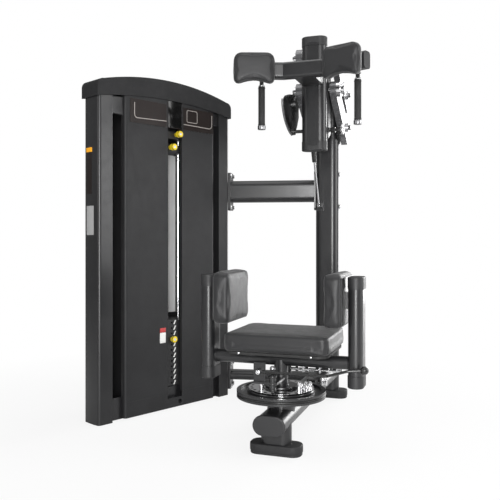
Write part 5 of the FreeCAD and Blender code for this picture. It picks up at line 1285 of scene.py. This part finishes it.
@dataclass
class Upholstery:
    """The knee pad, the thigh pads and the chest pads."""

    knee_wide: float = 0.402
    knee_deep: float = 0.326
    knee_front: float = 0.040
    knee_low: float = 0.366
    knee_thick: float = 0.066
    knee_corner: float = 0.026
    thigh_inner: float = 0.180
    thigh_thick: float = 0.060
    thigh_deep: float = 0.257
    thigh_tall: float = 0.197
    thigh_front: float = 0.035
    thigh_low: float = 0.460
    thigh_corner: float = 0.026
    chest_wide: float = 0.173
    chest_tall: float = 0.130
    chest_thick: float = 0.042
    chest_corner: float = 0.032
    chest_arch: float = 0.014
    chest_height: float = 1.489
    chest_along: float = 0.128
    chest_forward: float = 0.0578
    bend: float = 0.090
    sweep: float = 20.0
    crossbar_place: float = 0.412

    def knee(self) -> Cushion:
        """The knee pad."""
        middle = self.knee_deep / 2 - self.knee_front
        return Cushion("knee_cushion", "knee_pad", Body.PLATFORM,
                       rounded_outline(self.knee_wide, self.knee_deep, self.knee_corner),
                       rounded_outline(self.knee_wide - 0.010, self.knee_deep - 0.010,
                                       self.knee_corner - 0.005),
                       self.knee_thick, Matrix.Translation((0.0, middle, self.knee_low)))

    def thigh(self, side: int) -> Cushion:
        """One thigh pad.

        Args:
            side: -1 for the left, 1 for the right.

        Returns:
            The pad.
        """
        middle = Vector((side * (self.thigh_inner + self.thigh_thick), self.thigh_deep / 2 - self.thigh_front,
                         self.thigh_low + self.thigh_tall / 2))
        turn = Matrix(((0, 0, 1), (1, 0, 0), (0, 1, 0))).to_4x4()
        if side > 0:
            turn = Matrix.Rotation(math.pi, 4, "Z") @ turn
        label = side_name(side)
        return Cushion(f"thigh_cushion_{label}", f"thigh_pad_{label}", Body.PLATFORM,
                       rounded_outline(self.thigh_deep, self.thigh_tall, self.thigh_corner),
                       rounded_outline(self.thigh_deep - 0.009, self.thigh_tall - 0.009,
                                       self.thigh_corner - 0.004),
                       self.thigh_thick, Matrix.Translation(middle) @ turn)

    def chest(self, side: int) -> Cushion:
        """One chest pad, swept back with its half of the crossbar.

        Args:
            side: -1 for the left, 1 for the right.

        Returns:
            The pad.
        """
        angle = math.radians(self.sweep)
        outward = Vector((side * math.cos(angle), -math.sin(angle), 0.0))
        facing = Vector((-side * math.sin(angle), -math.cos(angle), 0.0))
        start = Vector((side * self.bend, self.crossbar_place, self.chest_height))
        place = start + outward * self.chest_along + facing * self.chest_forward
        turn = Matrix.Rotation(-side * angle, 4, "Z") @ FACING_FRONT
        label = side_name(side)
        face = (self.chest_wide, self.chest_tall, self.chest_corner, self.chest_arch)
        return Cushion(f"chest_cushion_{label}", f"chest_pad_{label}", Body.CARRIER, chest_outline(*face),
                       chest_outline(*face, 0.005), self.chest_thick, Matrix.Translation(place) @ turn,
                       0.004, swell=0.0012, cap=0.0020)

    def build(self, workshop: Workshop) -> None:
        """Make all five pads.

        Args:
            workshop: trees for the seams.
        """
        for cushion in (self.knee(), self.thigh(-1), self.thigh(1), self.chest(-1), self.chest(1)):
            cushion.build(workshop)


@dataclass
class TowerDressing:
    """Outlines on the notices, gloss plate, labels, brackets and the slot's strip on the weight tower."""

    notice_face: float = -0.0015
    line_wide: float = 0.0032
    line_thick: float = 0.0006
    label_thick: float = 0.0005
    column_bulge: float = 0.400
    column_half: float = 0.041
    column_middle: float = 0.055
    label_steps: int = 12

    def ribbon(self, shape: bmesh.types.BMesh, points: Outline, depth: float, wide: float,
               thick: float) -> None:
        """Add a flat ribbon that follows points on the tower's face.

        Args:
            shape: mesh to add to.
            points: along and height, in metres.
            depth: the face it lies on.
            wide: its width.
            thick: how far it stands out.
        """
        left, right = [], []
        for k, (x, z) in enumerate(points):
            before = points[max(k - 1, 0)]
            after = points[min(k + 1, len(points) - 1)]
            way = Vector((after[0] - before[0], after[1] - before[1])).normalized()
            side = Vector((-way.y, way.x)) * wide / 2
            left.append((x + side.x, z + side.y))
            right.append((x - side.x, z - side.y))
        outline = left + right[::-1]
        corners = [[shape.verts.new(TOWER @ Vector((x, y, z))) for x, z in outline]
                   for y in (depth - thick, depth)]
        bridge(shape, *corners)
        count = len(outline)
        for row in corners:
            for k in range(len(points) - 1):
                shape.faces.new((row[k], row[k + 1], row[count - 2 - k], row[count - 1 - k]))

    def arc(self, middle: tuple[float, float], radius: float, start: float, end: float) -> Outline:
        """Nine points on an arc, angles in degrees."""
        angles = [math.radians(start + (end - start) * k / 8) for k in range(9)]
        return [(middle[0] + radius * math.cos(angle), middle[1] + radius * math.sin(angle))
                for angle in angles]

    def plate(self, shape: bmesh.types.BMesh, start: float, end: float, low: float, high: float,
              depth: float, thick: float, corner: float = 0.002) -> None:
        """Add a thin rounded plate on the tower's face.

        Args:
            shape: mesh to add to.
            start: left end along the face.
            end: right end along the face.
            low: bottom.
            high: top.
            depth: the plate's back.
            thick: its thickness.
            corner: corner radius.
        """
        outline = rounded_outline(end - start, high - low, corner, 5, ((start + end) / 2, (low + high) / 2))
        where = TOWER @ Matrix.Translation((0.0, depth, 0.0)) @ FACING_FRONT
        add_slab(shape, outline, 0.0, thick, where, min(thick * 0.3, 0.0004))

    def notices(self) -> None:
        """Pale outlines on the bare brown notices and the gloss plate over the slot."""
        lines = bmesh.new()
        face = self.notice_face
        corner = 0.016
        left = [(0.181, 1.372), (0.181, 1.322), *self.arc((0.181 + corner, 1.322), corner, 180, 262),
                (0.357, 1.3115)]
        right = [(0.459, 1.3095), (0.615, 1.307), *self.arc((0.618, 1.325), 0.018, 270, 360),
                 (0.636, 1.372)]
        for points in (left, right):
            self.ribbon(lines, points, face, self.line_wide, self.line_thick)
        where = TOWER @ Matrix.Translation((0.0, face, 0.0)) @ FACING_FRONT
        add_band(lines, rounded_outline(0.066, 0.058, 0.009, 6, (0.5105, 1.350)),
                 rounded_outline(0.0605, 0.0525, 0.0065, 6, (0.5105, 1.350)), 0.0, self.line_thick, where)
        finished(lines, "notice_lines", NOTICE_LINE, Body.FRAME)
        gloss = bmesh.new()
        self.plate(gloss, 0.3685, 0.4485, 1.286, 1.412, 0.0, 0.0009, 0.003)
        finished(gloss, "slot_gloss_plate", GLOSS_BLACK, Body.FRAME)

    def column_label(self, name: str, finish: Finish, start: float, end: float, low: float,
                     high: float) -> None:
        """A thin label bent round the outer side of the left column.

        Args:
            name: the piece's name.
            finish: its finish.
            start: edge nearer the front, as a depth.
            end: edge nearer the back.
            low: bottom.
            high: top.
        """
        shape = bmesh.new()
        centre = math.sqrt(self.column_bulge ** 2 - self.column_half ** 2)
        rows = []
        for k in range(self.label_steps + 1):
            depth = start + (end - start) * k / self.label_steps
            bulge = centre - math.sqrt(self.column_bulge ** 2 - (depth - self.column_middle) ** 2)
            rows.append((bulge - self.label_thick, bulge + 0.0004, depth))
        grid = [[shape.verts.new(TOWER @ Vector((x, depth, z))) for z in (low, high)]
                for outer, inner, depth in rows for x in (outer, inner)]
        for k in range(self.label_steps):
            outer, inner = grid[2 * k], grid[2 * k + 1]
            outer_next, inner_next = grid[2 * k + 2], grid[2 * k + 3]
            shape.faces.new((outer[0], outer_next[0], outer_next[1], outer[1]))
            shape.faces.new((inner[0], inner[1], inner_next[1], inner_next[0]))
            shape.faces.new((outer[0], inner[0], inner_next[0], outer_next[0]))
            shape.faces.new((outer[1], outer_next[1], inner_next[1], inner[1]))
        for outer, inner in ((grid[0], grid[1]), (grid[-2], grid[-1])):
            shape.faces.new((outer[0], outer[1], inner[1], inner[0]))
        finished(shape, name, finish, Body.FRAME)

    def labels(self) -> None:
        """Bare labels on the column's side and low on the left sheet."""
        self.column_label("side_label_orange", ORANGE, 0.046, 0.092, 1.144, 1.163)
        self.column_label("side_label_brown", NOTICE, 0.048, 0.090, 0.967, 1.142)
        self.column_label("side_label_pale", PALE_LABEL, 0.034, 0.088, 0.794, 0.917)
        for name, finish, low, high in (("sheet_label_white", WHITE_LABEL, 0.306, 0.353),
                                        ("sheet_label_red", RED_LABEL, 0.354, 0.374)):
            shape = bmesh.new()
            self.plate(shape, 0.321, 0.354, low, high, 0.0, self.label_thick)
            finished(shape, name, finish, Body.FRAME)

    def strips(self) -> None:
        """The pale face of the channel behind the slot."""
        shape = bmesh.new()
        self.plate(shape, 0.4665, 0.5105, 0.4245, 1.1875, 0.122, 0.0008, 0.001)
        finished(shape, "slot_channel_face", STRIP, Body.FRAME)

    def brackets(self) -> None:
        """Folded brackets that close the tops of the gaps beside the sheets."""
        for name, start, end, low in (("gap_bracket_left", 0.0715, 0.1295, 1.312),
                                      ("gap_bracket_right", 0.6565, 0.6845, 1.330)):
            shape = bmesh.new()
            self.plate(shape, start, end, low, 1.388, 0.016, 0.003, 0.001)
            flat = TOWER @ Matrix.Translation((0.0, 0.0, low))
            outline = [(start, 0.004), (end, 0.010), (end, 0.0135), (start, 0.0135)]
            add_slab(shape, outline, -0.0015, 0.0015, flat, 0.0004)
            finished(shape, name, COLUMN_COAT, Body.FRAME)

    def build(self) -> None:
        """Make every piece of the tower's dressing."""
        self.notices()
        self.labels()
        self.strips()
        self.brackets()


@dataclass
class PivotHardware:
    """Star nuts and bolts on the chest linkage's pivots and its lock."""

    pin_end: float = 0.10605
    bolt: float = 0.0115
    rear: tuple[float, float] = (0.892, 1.320)
    front: tuple[float, float] = (0.662, 1.460)
    spacing: float = 0.158
    hub_end: float = 0.1281
    lobe_depth: float = 0.16

    def star(self, name: str, place: Vector, radius: float, thick: float, lobes: int, finish: Finish,
             body: Body) -> None:
        """A lobed hand nut whose axis is along X.

        Args:
            name: the piece's name.
            place: middle of its inner face.
            radius: radius to the lobes' tips.
            thick: its thickness.
            lobes: how many lobes.
            finish: its finish.
            body: the body it rides on.
        """
        shape = bmesh.new()
        outline = []
        for k in range(lobes * 12):
            angle = math.tau * k / (lobes * 12)
            wave = 1.0 - self.lobe_depth + self.lobe_depth * math.cos(lobes * angle)
            outline.append((radius * wave * math.cos(angle), radius * wave * math.sin(angle)))
        where = Matrix.Translation(place) @ ALONG_X
        add_slab(shape, outline, 0.0, thick, where, thick * 0.22)
        add_turned(shape, [(0.0, thick), (radius * 0.42, thick), (radius * 0.4, thick * 1.35),
                           (radius * 0.2, thick * 1.5), (0.0, thick * 1.5)], where, 24)
        finished(shape, name, finish, body)

    def build(self, workshop: Workshop) -> None:
        """Make the pivots' hardware.

        Args:
            workshop: trees for the fasteners.
        """
        self.star("hub_star_nut", Vector((self.hub_end, *self.front)), 0.030, 0.004, 6, CHROME, Body.CARRIER)
        rear_spots, front_spots = [], []
        for up in (0.0, self.spacing):
            for side, way in ((1, RIGHTWARD), (-1, LEFTWARD)):
                across = side * self.pin_end
                rear_spots.append((Vector((across, self.rear[0], self.rear[1] + up)), way))
                if side < 0 or up > 0.0:
                    front_spots.append((Vector((across, self.front[0], self.front[1] + up)), way))
        workshop.put("rear_pivot_bolts", Fastener.HEX_BOLT, rear_spots, self.bolt, DARK_STEEL, Body.FRAME)
        workshop.put("front_pivot_bolts", Fastener.HEX_BOLT, front_spots, self.bolt, CHROME, Body.CARRIER)


@dataclass
class GripTrim:
    """Metal ends and end rings on the upright grips."""

    spread: float = 0.215
    place: float = 0.496
    low: float = 1.266
    foot: float = 1.283
    top: float = 1.456
    ring_inset: float = 0.006

    def build(self) -> None:
        """Make the grips' metal ends and their end rings."""
        metal, rings = bmesh.new(), bmesh.new()
        for side in (-1, 1):
            where = Matrix.Translation((side * self.spread, self.place, 0.0))
            low, foot, top = self.low, self.foot, self.top
            add_turned(metal, [(0.0, low - 0.0006), (0.0155, low - 0.0006), (0.0176, low + 0.0015),
                               (0.0178, foot - 0.0025), (0.0166, foot + 0.0006), (0.0152, foot + 0.0008),
                               (0.0152, foot + 0.0002), (0.0, foot)], where, 40)
            add_turned(metal, [(0.0092, top + 0.0004), (0.0135, top + 0.0004), (0.0142, top + 0.003),
                               (0.0118, top + 0.008), (0.0095, top + 0.0095), (0.0092, top + 0.0095)],
                       where, 40, True)
            for k in range(2):
                height = foot + self.ring_inset + k * (top - foot - 2 * self.ring_inset)
                add_turned(rings, rib(height, (0.0150, 0.0160, 0.0162), (0.0022, 0.0014)), where, 40, True)
        finished(metal, "grip_end_metal", SATIN, Body.CARRIER)
        finished(rings, "grip_end_rings", GRIP, Body.CARRIER)


@dataclass
class StackDressing:
    """Bare strips on the weight plates and the faces of the yellow knobs."""

    plate_low: float = 0.0995
    pitch: float = 0.0253
    plate_front: float = 0.022
    resting: int = 8
    lifted: int = 4

    def strips(self, name: str, first: int, count: int, body: Body) -> None:
        """One slanted pale strip on each plate.

        Args:
            name: the piece's name.
            first: first plate from the bottom.
            count: how many plates.
            body: the body they ride on.
        """
        shape = bmesh.new()
        for k in range(first, first + count):
            middle = self.plate_low + (k + 0.5) * self.pitch
            outline = [(0.4165, middle - 0.009), (0.4235, middle - 0.009), (0.4325, middle + 0.009),
                       (0.4255, middle + 0.009)]
            where = TOWER @ Matrix.Translation((0.0, self.plate_front, 0.0)) @ FACING_FRONT
            add_slab(shape, outline, 0.0, 0.0006, where)
        finished(shape, name, WHITE_LABEL, body)

    def knob_face(self, name: str, place: Place, body: Body) -> None:
        """A raised ring, a pale dome and a dark rim on a knob's front.

        Args:
            name: start of the pieces' names.
            place: middle of the knob's front, along, into and up the tower.
            body: the body the knob rides on.
        """
        where = TOWER @ Matrix.Translation(place) @ FACING_FRONT
        dome, ring, rim = bmesh.new(), bmesh.new(), bmesh.new()
        add_turned(dome, [(0.0, -0.0003), (0.0060, -0.0003), (0.0060, 0.0008), (0.0052, 0.0020),
                          (0.0030, 0.0028), (0.0, 0.0031)], where, 28)
        add_turned(ring, [(0.0074, -0.0003), (0.0074, 0.0010), (0.0086, 0.0020), (0.0120, 0.0020),
                          (0.0137, 0.0009), (0.0137, -0.0003)], where, 32, True)
        add_turned(rim, [(0.0138, -0.0040), (0.0157, -0.0040), (0.0160, -0.0022), (0.0156, -0.0002),
                         (0.0138, 0.0004)], where, 32, True)
        finished(dome, name + "_dome", PALE_BUTTON, body)
        finished(ring, name + "_ring", YELLOW, body)
        finished(rim, name + "_rim", KNOB_RIM, body)

    def build(self) -> None:
        """Make the plates' strips and the knobs' faces."""
        self.strips("resting_plate_strips", 0, self.resting, Body.FRAME)
        self.strips("lifted_plate_strips", self.resting, self.lifted, Body.STACK)
        self.knob_face("upper_weight_knob", (0.432, -0.012, 1.260), Body.UPPER_WEIGHT)
        self.knob_face("lower_weight_knob", (0.397, -0.012, 1.198), Body.LOWER_WEIGHT)
        self.knob_face("selector_knob", (0.408, 0.0, 0.3141), Body.SELECTOR)


@dataclass
class TurntableDressing:
    """Plunger, index bushes, guide and under-tube hardware round the turntable."""

    index_radius: float = 0.110
    index_step: float = 15.0
    last_hole: int = 4
    ring_low: float = 0.219
    ring_high: float = 0.227
    pin_low: float = 0.2276
    knob_low: float = 0.310
    knob_high: float = 0.325
    tube_low: float = 0.307
    guide_place: float = 0.420
    ray_start: float = -0.3

    def plunger(self) -> None:
        """The pull pin with its domed chrome knob, in place of its solid."""
        shape = bmesh.new()
        where = Matrix.Translation((0.0, AXIS_PLACE - self.index_radius, 0.0))
        low, knob = self.pin_low, self.knob_low
        add_turned(shape, [(0.0, low), (0.0026, low), (0.0049, low + 0.0026), (0.0049, knob - 0.002),
                           (0.0078, knob), (0.0098, knob + 0.002), (0.0104, knob + 0.006),
                           (0.0094, knob + 0.0100), (0.0066, knob + 0.0133),
                           (0.0030, self.knob_high - 0.0002), (0.0, self.knob_high)], where, 40)
        made = finished(shape, "plunger_pin", SATIN, Body.START_PIN, 60.0)
        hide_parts("start_pin")
        rings = bmesh.new()
        for height in (0.2385, 0.262, 0.2865):
            add_turned(rings, rib(height, (0.0128, 0.0146, 0.0150), (0.0030, 0.0022)), where, 36, True)
        finished(rings, "pin_housing_rings", LOCK_BLACK, Body.PLATFORM)

    def bushes(self) -> None:
        """Dark bushes in the index ring's nine holes, and flat dark discs round the rest of it: painted shade
        that stands in for holes.
        """
        shape = bmesh.new()
        count = round(360.0 / self.index_step)
        low, high = self.ring_low + 0.0004, self.ring_high
        bush = [(0.00515, low), (0.00548, low), (0.00548, high + 0.0001), (0.0062, high + 0.0001),
                (0.0062, high + 0.0004), (0.00515, high + 0.0004)]
        # Flat dark disc on the ring's face: painted shade in place of a hole
        hole_shade_disc = [(0.0, high - 0.0005), (0.0052, high - 0.0005), (0.0050, high + 0.0004),
                  (0.0, high + 0.0003)]
        for step in range(count):
            angle = math.radians(self.index_step * step)
            where = Matrix.Translation((self.index_radius * math.sin(angle),
                                        AXIS_PLACE - self.index_radius * math.cos(angle), 0.0))
            hole = step <= self.last_hole or step >= count - self.last_hole
            add_turned(shape, bush if hole else hole_shade_disc, where, 24, hole)
        finished(shape, "index_bushes", NYLON, Body.CAM)

    def clamp(self, workshop: Workshop) -> None:
        """Three chrome clamps with cap screws on the index ring, clear of the plunger's sweep.

        Args:
            workshop: trees for the fasteners.
        """
        shape, spots = bmesh.new(), []
        for turn in (-14.0, 2.0, 18.0):
            where = (Matrix.Translation((0.0, AXIS_PLACE, self.ring_high - 0.0002))
                     @ Matrix.Rotation(math.radians(turn), 4, "Z"))
            add_slab(shape, rounded_outline(0.034, 0.018, 0.005, 4, (0.098, 0.0)), 0.0, 0.017, where, 0.0015)
            spots += [(where @ Vector((out, 0.0, 0.0168)), UPWARD) for out in (0.090, 0.106)]
        finished(shape, "ring_clamps", CHROME, Body.CAM)
        workshop.put("ring_clamp_screws", Fastener.SOCKET_SCREW, spots, 0.0058, STEEL, Body.CAM)

    def under_tube(self) -> None:
        """Chrome rod with collars and hangers under the cross tube."""
        rod, hangers = bmesh.new(), bmesh.new()
        start, height = 0.036, self.tube_low - 0.0085
        where = Matrix.Translation((start, AXIS_PLACE, height)) @ ALONG_X
        thin, thick, end = 0.0052, 0.0085, 0.186
        profile = [(0.0, 0.0), (thin, 0.0), (thin, 0.010)]
        for place in (0.020, 0.058, 0.096, 0.134, 0.160):
            profile += [(thin, place), (thick, place + 0.001), (thick, place + 0.012), (thin, place + 0.013)]
        profile += [(thin, end), (0.0, end)]
        add_turned(rod, profile, where, 28)
        for place in (0.050, 0.112, 0.176):
            add_slab(hangers, rounded_outline(0.006, 0.022, 0.002, 3), height - 0.010, self.tube_low + 0.004,
                     Matrix.Translation((start + place, AXIS_PLACE, 0.0)), 0.001)
        finished(rod, "under_tube_rod", CHROME, Body.PLATFORM)
        finished(hangers, "under_tube_hangers", SATIN, Body.PLATFORM)

    def guide(self, workshop: Workshop) -> None:
        """Saddle with a chrome roller on the base tube, beside the cable.

        Args:
            workshop: trees for the fasteners.
        """
        saddle, roller = bmesh.new(), bmesh.new()
        at = Matrix.Translation((0.0, self.guide_place, 0.0))
        for outline, low, high, soft in (
                (rounded_outline(0.094, 0.050, 0.006, 4, (0.029, 0.0)), 0.1545, 0.1625, 0.001),
                (rounded_outline(0.052, 0.040, 0.008, 4, (0.040, 0.0)), 0.1615, 0.186, 0.003),
                (rounded_outline(0.007, 0.050, 0.002, 3, (0.0735, 0.0)), 0.1545, 0.193, 0.001)):
            add_slab(saddle, outline, low, high, at, soft)
        add_turned(roller, [(0.0, 0.0765), (0.0150, 0.0765), (0.0150, 0.0795), (0.0100, 0.0815),
                            (0.0100, 0.0925), (0.0150, 0.0945), (0.0150, 0.0975), (0.0, 0.0975)],
                   Matrix.Translation((0.0, self.guide_place, 0.174)) @ ALONG_X, 32)
        finished(saddle, "cable_guide_saddle", LOCK_BLACK, Body.FRAME)
        finished(roller, "cable_guide_roller", CHROME, Body.FRAME)
        workshop.put("cable_guide_screws", Fastener.SOCKET_SCREW,
                     [(Vector((-0.008, self.guide_place, 0.1624)), UPWARD)], 0.0062, STEEL, Body.FRAME)

    def build(self, workshop: Workshop, nodes: dict[str, bpy.types.Object]) -> None:
        """Make the turntable's hardware.

        Args:
            workshop: trees for the fasteners.
            nodes: the solids by name.
        """
        self.plunger()
        self.bushes()
        self.clamp(workshop)
        self.under_tube()
        self.guide(workshop)
        for name, node, across, height, size in (
                ("lever_bracket_bolt", "platform_frame", (-0.048,), 0.304, 0.0088),
                ("knee_board_bolts", "knee_board", (-0.136, 0.136), 0.3605, 0.0042)):
            spots = [seated(nodes[node], (x, self.ray_start, height), REARWARD) for x in across]
            workshop.put(name, Fastener.SOCKET_SCREW, spots, size, CHROME, Body.PLATFORM)


@dataclass
class LockDressing:
    """Fan plate, bow and screws on the left of the height lock, and its right hand nut."""

    plate_face: float = -0.116
    shaft: tuple[float, float] = (0.676, 1.278)

    def build(self, workshop: Workshop, pivots: PivotHardware) -> None:
        """Make the lock's hardware.

        Args:
            workshop: trees for the bow and the fasteners.
            pivots: maker of star nuts.
        """
        fan = [(0.664, 1.262), (0.690, 1.264), (0.742, 1.308), (0.778, 1.362), (0.772, 1.424), (0.748, 1.476),
               (0.727, 1.497), (0.703, 1.472), (0.674, 1.452), (0.606, 1.440), (0.540, 1.421), (0.506, 1.396),
               (0.512, 1.362), (0.546, 1.316), (0.600, 1.283)]
        inward = Matrix(((0, 0, -1, 0), (1, 0, 0, 0), (0, 1, 0, 0), (0, 0, 0, 1)))
        where = Matrix.Translation((self.plate_face + 0.0002, 0.0, 0.0)) @ inward
        shape = bmesh.new()
        add_slab(shape, fan, 0.0, 0.0062, where, 0.0015)
        finished(shape, "lock_fan_plate", LOCK_BLACK, Body.LOCK)
        bow = [Vector((self.plate_face - 0.0062, y, z))
               for y, z in ((0.506, 1.400), (0.505, 1.380), (0.513, 1.358), (0.528, 1.336), (0.547, 1.314),
                            (0.572, 1.297), (0.600, 1.281), (0.634, 1.269), (0.668, 1.262))]
        workshop.lay("lock_bow", bow, 0.0042, ARM_COAT, Body.LOCK)
        spots = [(Vector((self.plate_face - 0.0060, y, z)), LEFTWARD)
                 for y, z in ((0.616, 1.322), (0.592, 1.304))]
        workshop.put("lock_fan_screws", Fastener.SOCKET_SCREW, spots, 0.0046, CHROME, Body.LOCK)
        rim = bmesh.new()
        hub = Matrix.Translation((-0.150, 0.700, 1.411)) @ ALONG_X
        add_turned(rim, [(0.0, -0.0030), (0.016, -0.0030), (0.020, -0.0018), (0.030, -0.0018),
                         (0.0335, -0.0008), (0.0345, 0.0004), (0.0, 0.0004)], hub, 48)
        for place in (0.006, 0.014, 0.022, 0.030):
            add_turned(rim, [(0.0355, place), (0.0374, place + 0.001), (0.0374, place + 0.004),
                             (0.0355, place + 0.005)], hub, 48, True)
        finished(rim, "lock_hub_ribs", LOCK_BLACK, Body.LOCK)
        pivots.star("lock_star_nut", Vector((0.1081, *self.shaft)), 0.024, 0.012, 6, CHROME, Body.LOCK)


@dataclass
class FrameDetails:
    """Rubber feet, weld beads and the painted tips of the carrier's faces."""

    weld: float = 0.0026
    weld_ripple: float = 0.3
    ring_steps: int = 40
    face_half: float = 0.029
    feet_places: tuple[float, float] = (0.0, 0.892)
    foot_wide: float = 0.195
    foot_deep: float = 0.085
    foot_tall: float = 0.038

    def circle(self, radius: float) -> Outline:
        """Points round a circle."""
        angles = [math.tau * k / self.ring_steps for k in range(self.ring_steps)]
        return [(radius * math.cos(angle), radius * math.sin(angle)) for angle in angles]

    def welds(self, workshop: Workshop) -> None:
        """Beads where tubes meet flanges, plates and each other.

        Args:
            workshop: trees for the beads.
        """
        tie = (Matrix.Translation((-0.483, 0.812, 1.013)) @ Matrix.Rotation(math.radians(10.6), 4, "Z")
               @ ALONG_X)
        near = tie @ Matrix.Translation((0.0, 0.0, 0.0088))
        beads = [("upper_tie_weld", Body.FRAME,
                  [near @ Vector((x, y, 0.0)) for x, y in rounded_outline(0.113, 0.063, 0.031, 6)]),
                 ("column_weld", Body.PLATFORM,
                  [Vector((x, AXIS_PLACE + y, 0.2366)) for x, y in self.circle(0.0265)])]
        for side in (-1, 1):
            points = [Vector((side * 0.2560, AXIS_PLACE + y, 0.331 + z)) for y, z in self.circle(0.0248)]
            beads.append((f"cross_tube_weld_{side_name(side)}", Body.PLATFORM, points))
        for name, body, points in beads:
            workshop.lay(name, points, self.weld, CHARCOAL, body, True, self.weld_ripple)

    def feet(self) -> None:
        """Both rubber feet with round ends and a stepped sole, in place of their solids."""
        shape = bmesh.new()
        for along in self.feet_places:
            where = Matrix.Translation((0.0, along, 0.0))
            sole = rounded_outline(self.foot_wide - 0.004, self.foot_deep - 0.004, 0.034, 10)
            add_slab(shape, sole, 0.0, 0.008, where, 0.001)
            upper = rounded_outline(self.foot_wide, self.foot_deep, 0.036, 10)
            add_slab(shape, upper, 0.0075, self.foot_tall, where, 0.006)
        made = finished(shape, "rubber_feet", FOOT, Body.FRAME)
        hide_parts("feet")

    def carrier_faces(self) -> None:
        """Painted front faces that run onto the carrier's end caps with an arched seam."""
        shape = bmesh.new()
        for seam, tip in ((1.647, 0.016), (1.217, -0.022)):
            outline = [(-self.face_half, seam)]
            for step in range(13):
                across = -self.face_half + 2 * self.face_half * step / 12
                bow = math.sqrt(max(0.0, 1.0 - (across / 0.0292) ** 2))
                outline.append((across, seam + tip * (0.25 + 0.75 * bow)))
            outline.append((self.face_half, seam))
            where = Matrix.Translation((0.0, 0.5777, 0.0)) @ FACING_FRONT
            add_slab(shape, outline, 0.0, 0.0007, where)
        finished(shape, "carrier_face_tips", CHARCOAL, Body.CARRIER)

    def build(self, workshop: Workshop) -> None:
        """Make the details.

        Args:
            workshop: trees for the beads.
        """
        self.welds(workshop)
        self.feet()
        self.carrier_faces()


def dress_nodes(nodes: dict[str, bpy.types.Object]) -> None:
    """Give every solid its finish.

    Args:
        nodes: the solids by name.
    """
    for finish, names in NODE_FINISHES.items():
        for name in names:
            solid = nodes[name]
            for slot in solid.material_slots:
                slot.material = Store.of(finish)
            if not solid.material_slots:
                solid.data.materials.append(Store.of(finish))


def corners(low: Vector, high: Vector) -> list[list[float]]:
    """A box's two corners as plain lists."""
    return [[float(part) for part in low], [float(part) for part in high]]


def main() -> None:
    """Load the machine's solids and dress them."""
    logging.basicConfig(level=logging.INFO, format="%(message)s")
    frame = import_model()
    Studio().build()
    workshop = Workshop()
    dress_nodes(frame["nodes"])
    Upholstery().build(workshop)
    TowerDressing().build()
    pivots = PivotHardware()
    pivots.build(workshop)
    LockDressing().build(workshop, pivots)
    TurntableDressing().build(workshop, frame["nodes"])
    FrameDetails().build(workshop)
    GripTrim().build()
    StackDressing().build()
    for pattern in workshop.patterns.values():
        bpy.data.objects.remove(pattern)


if __name__ == "__main__":
    main()
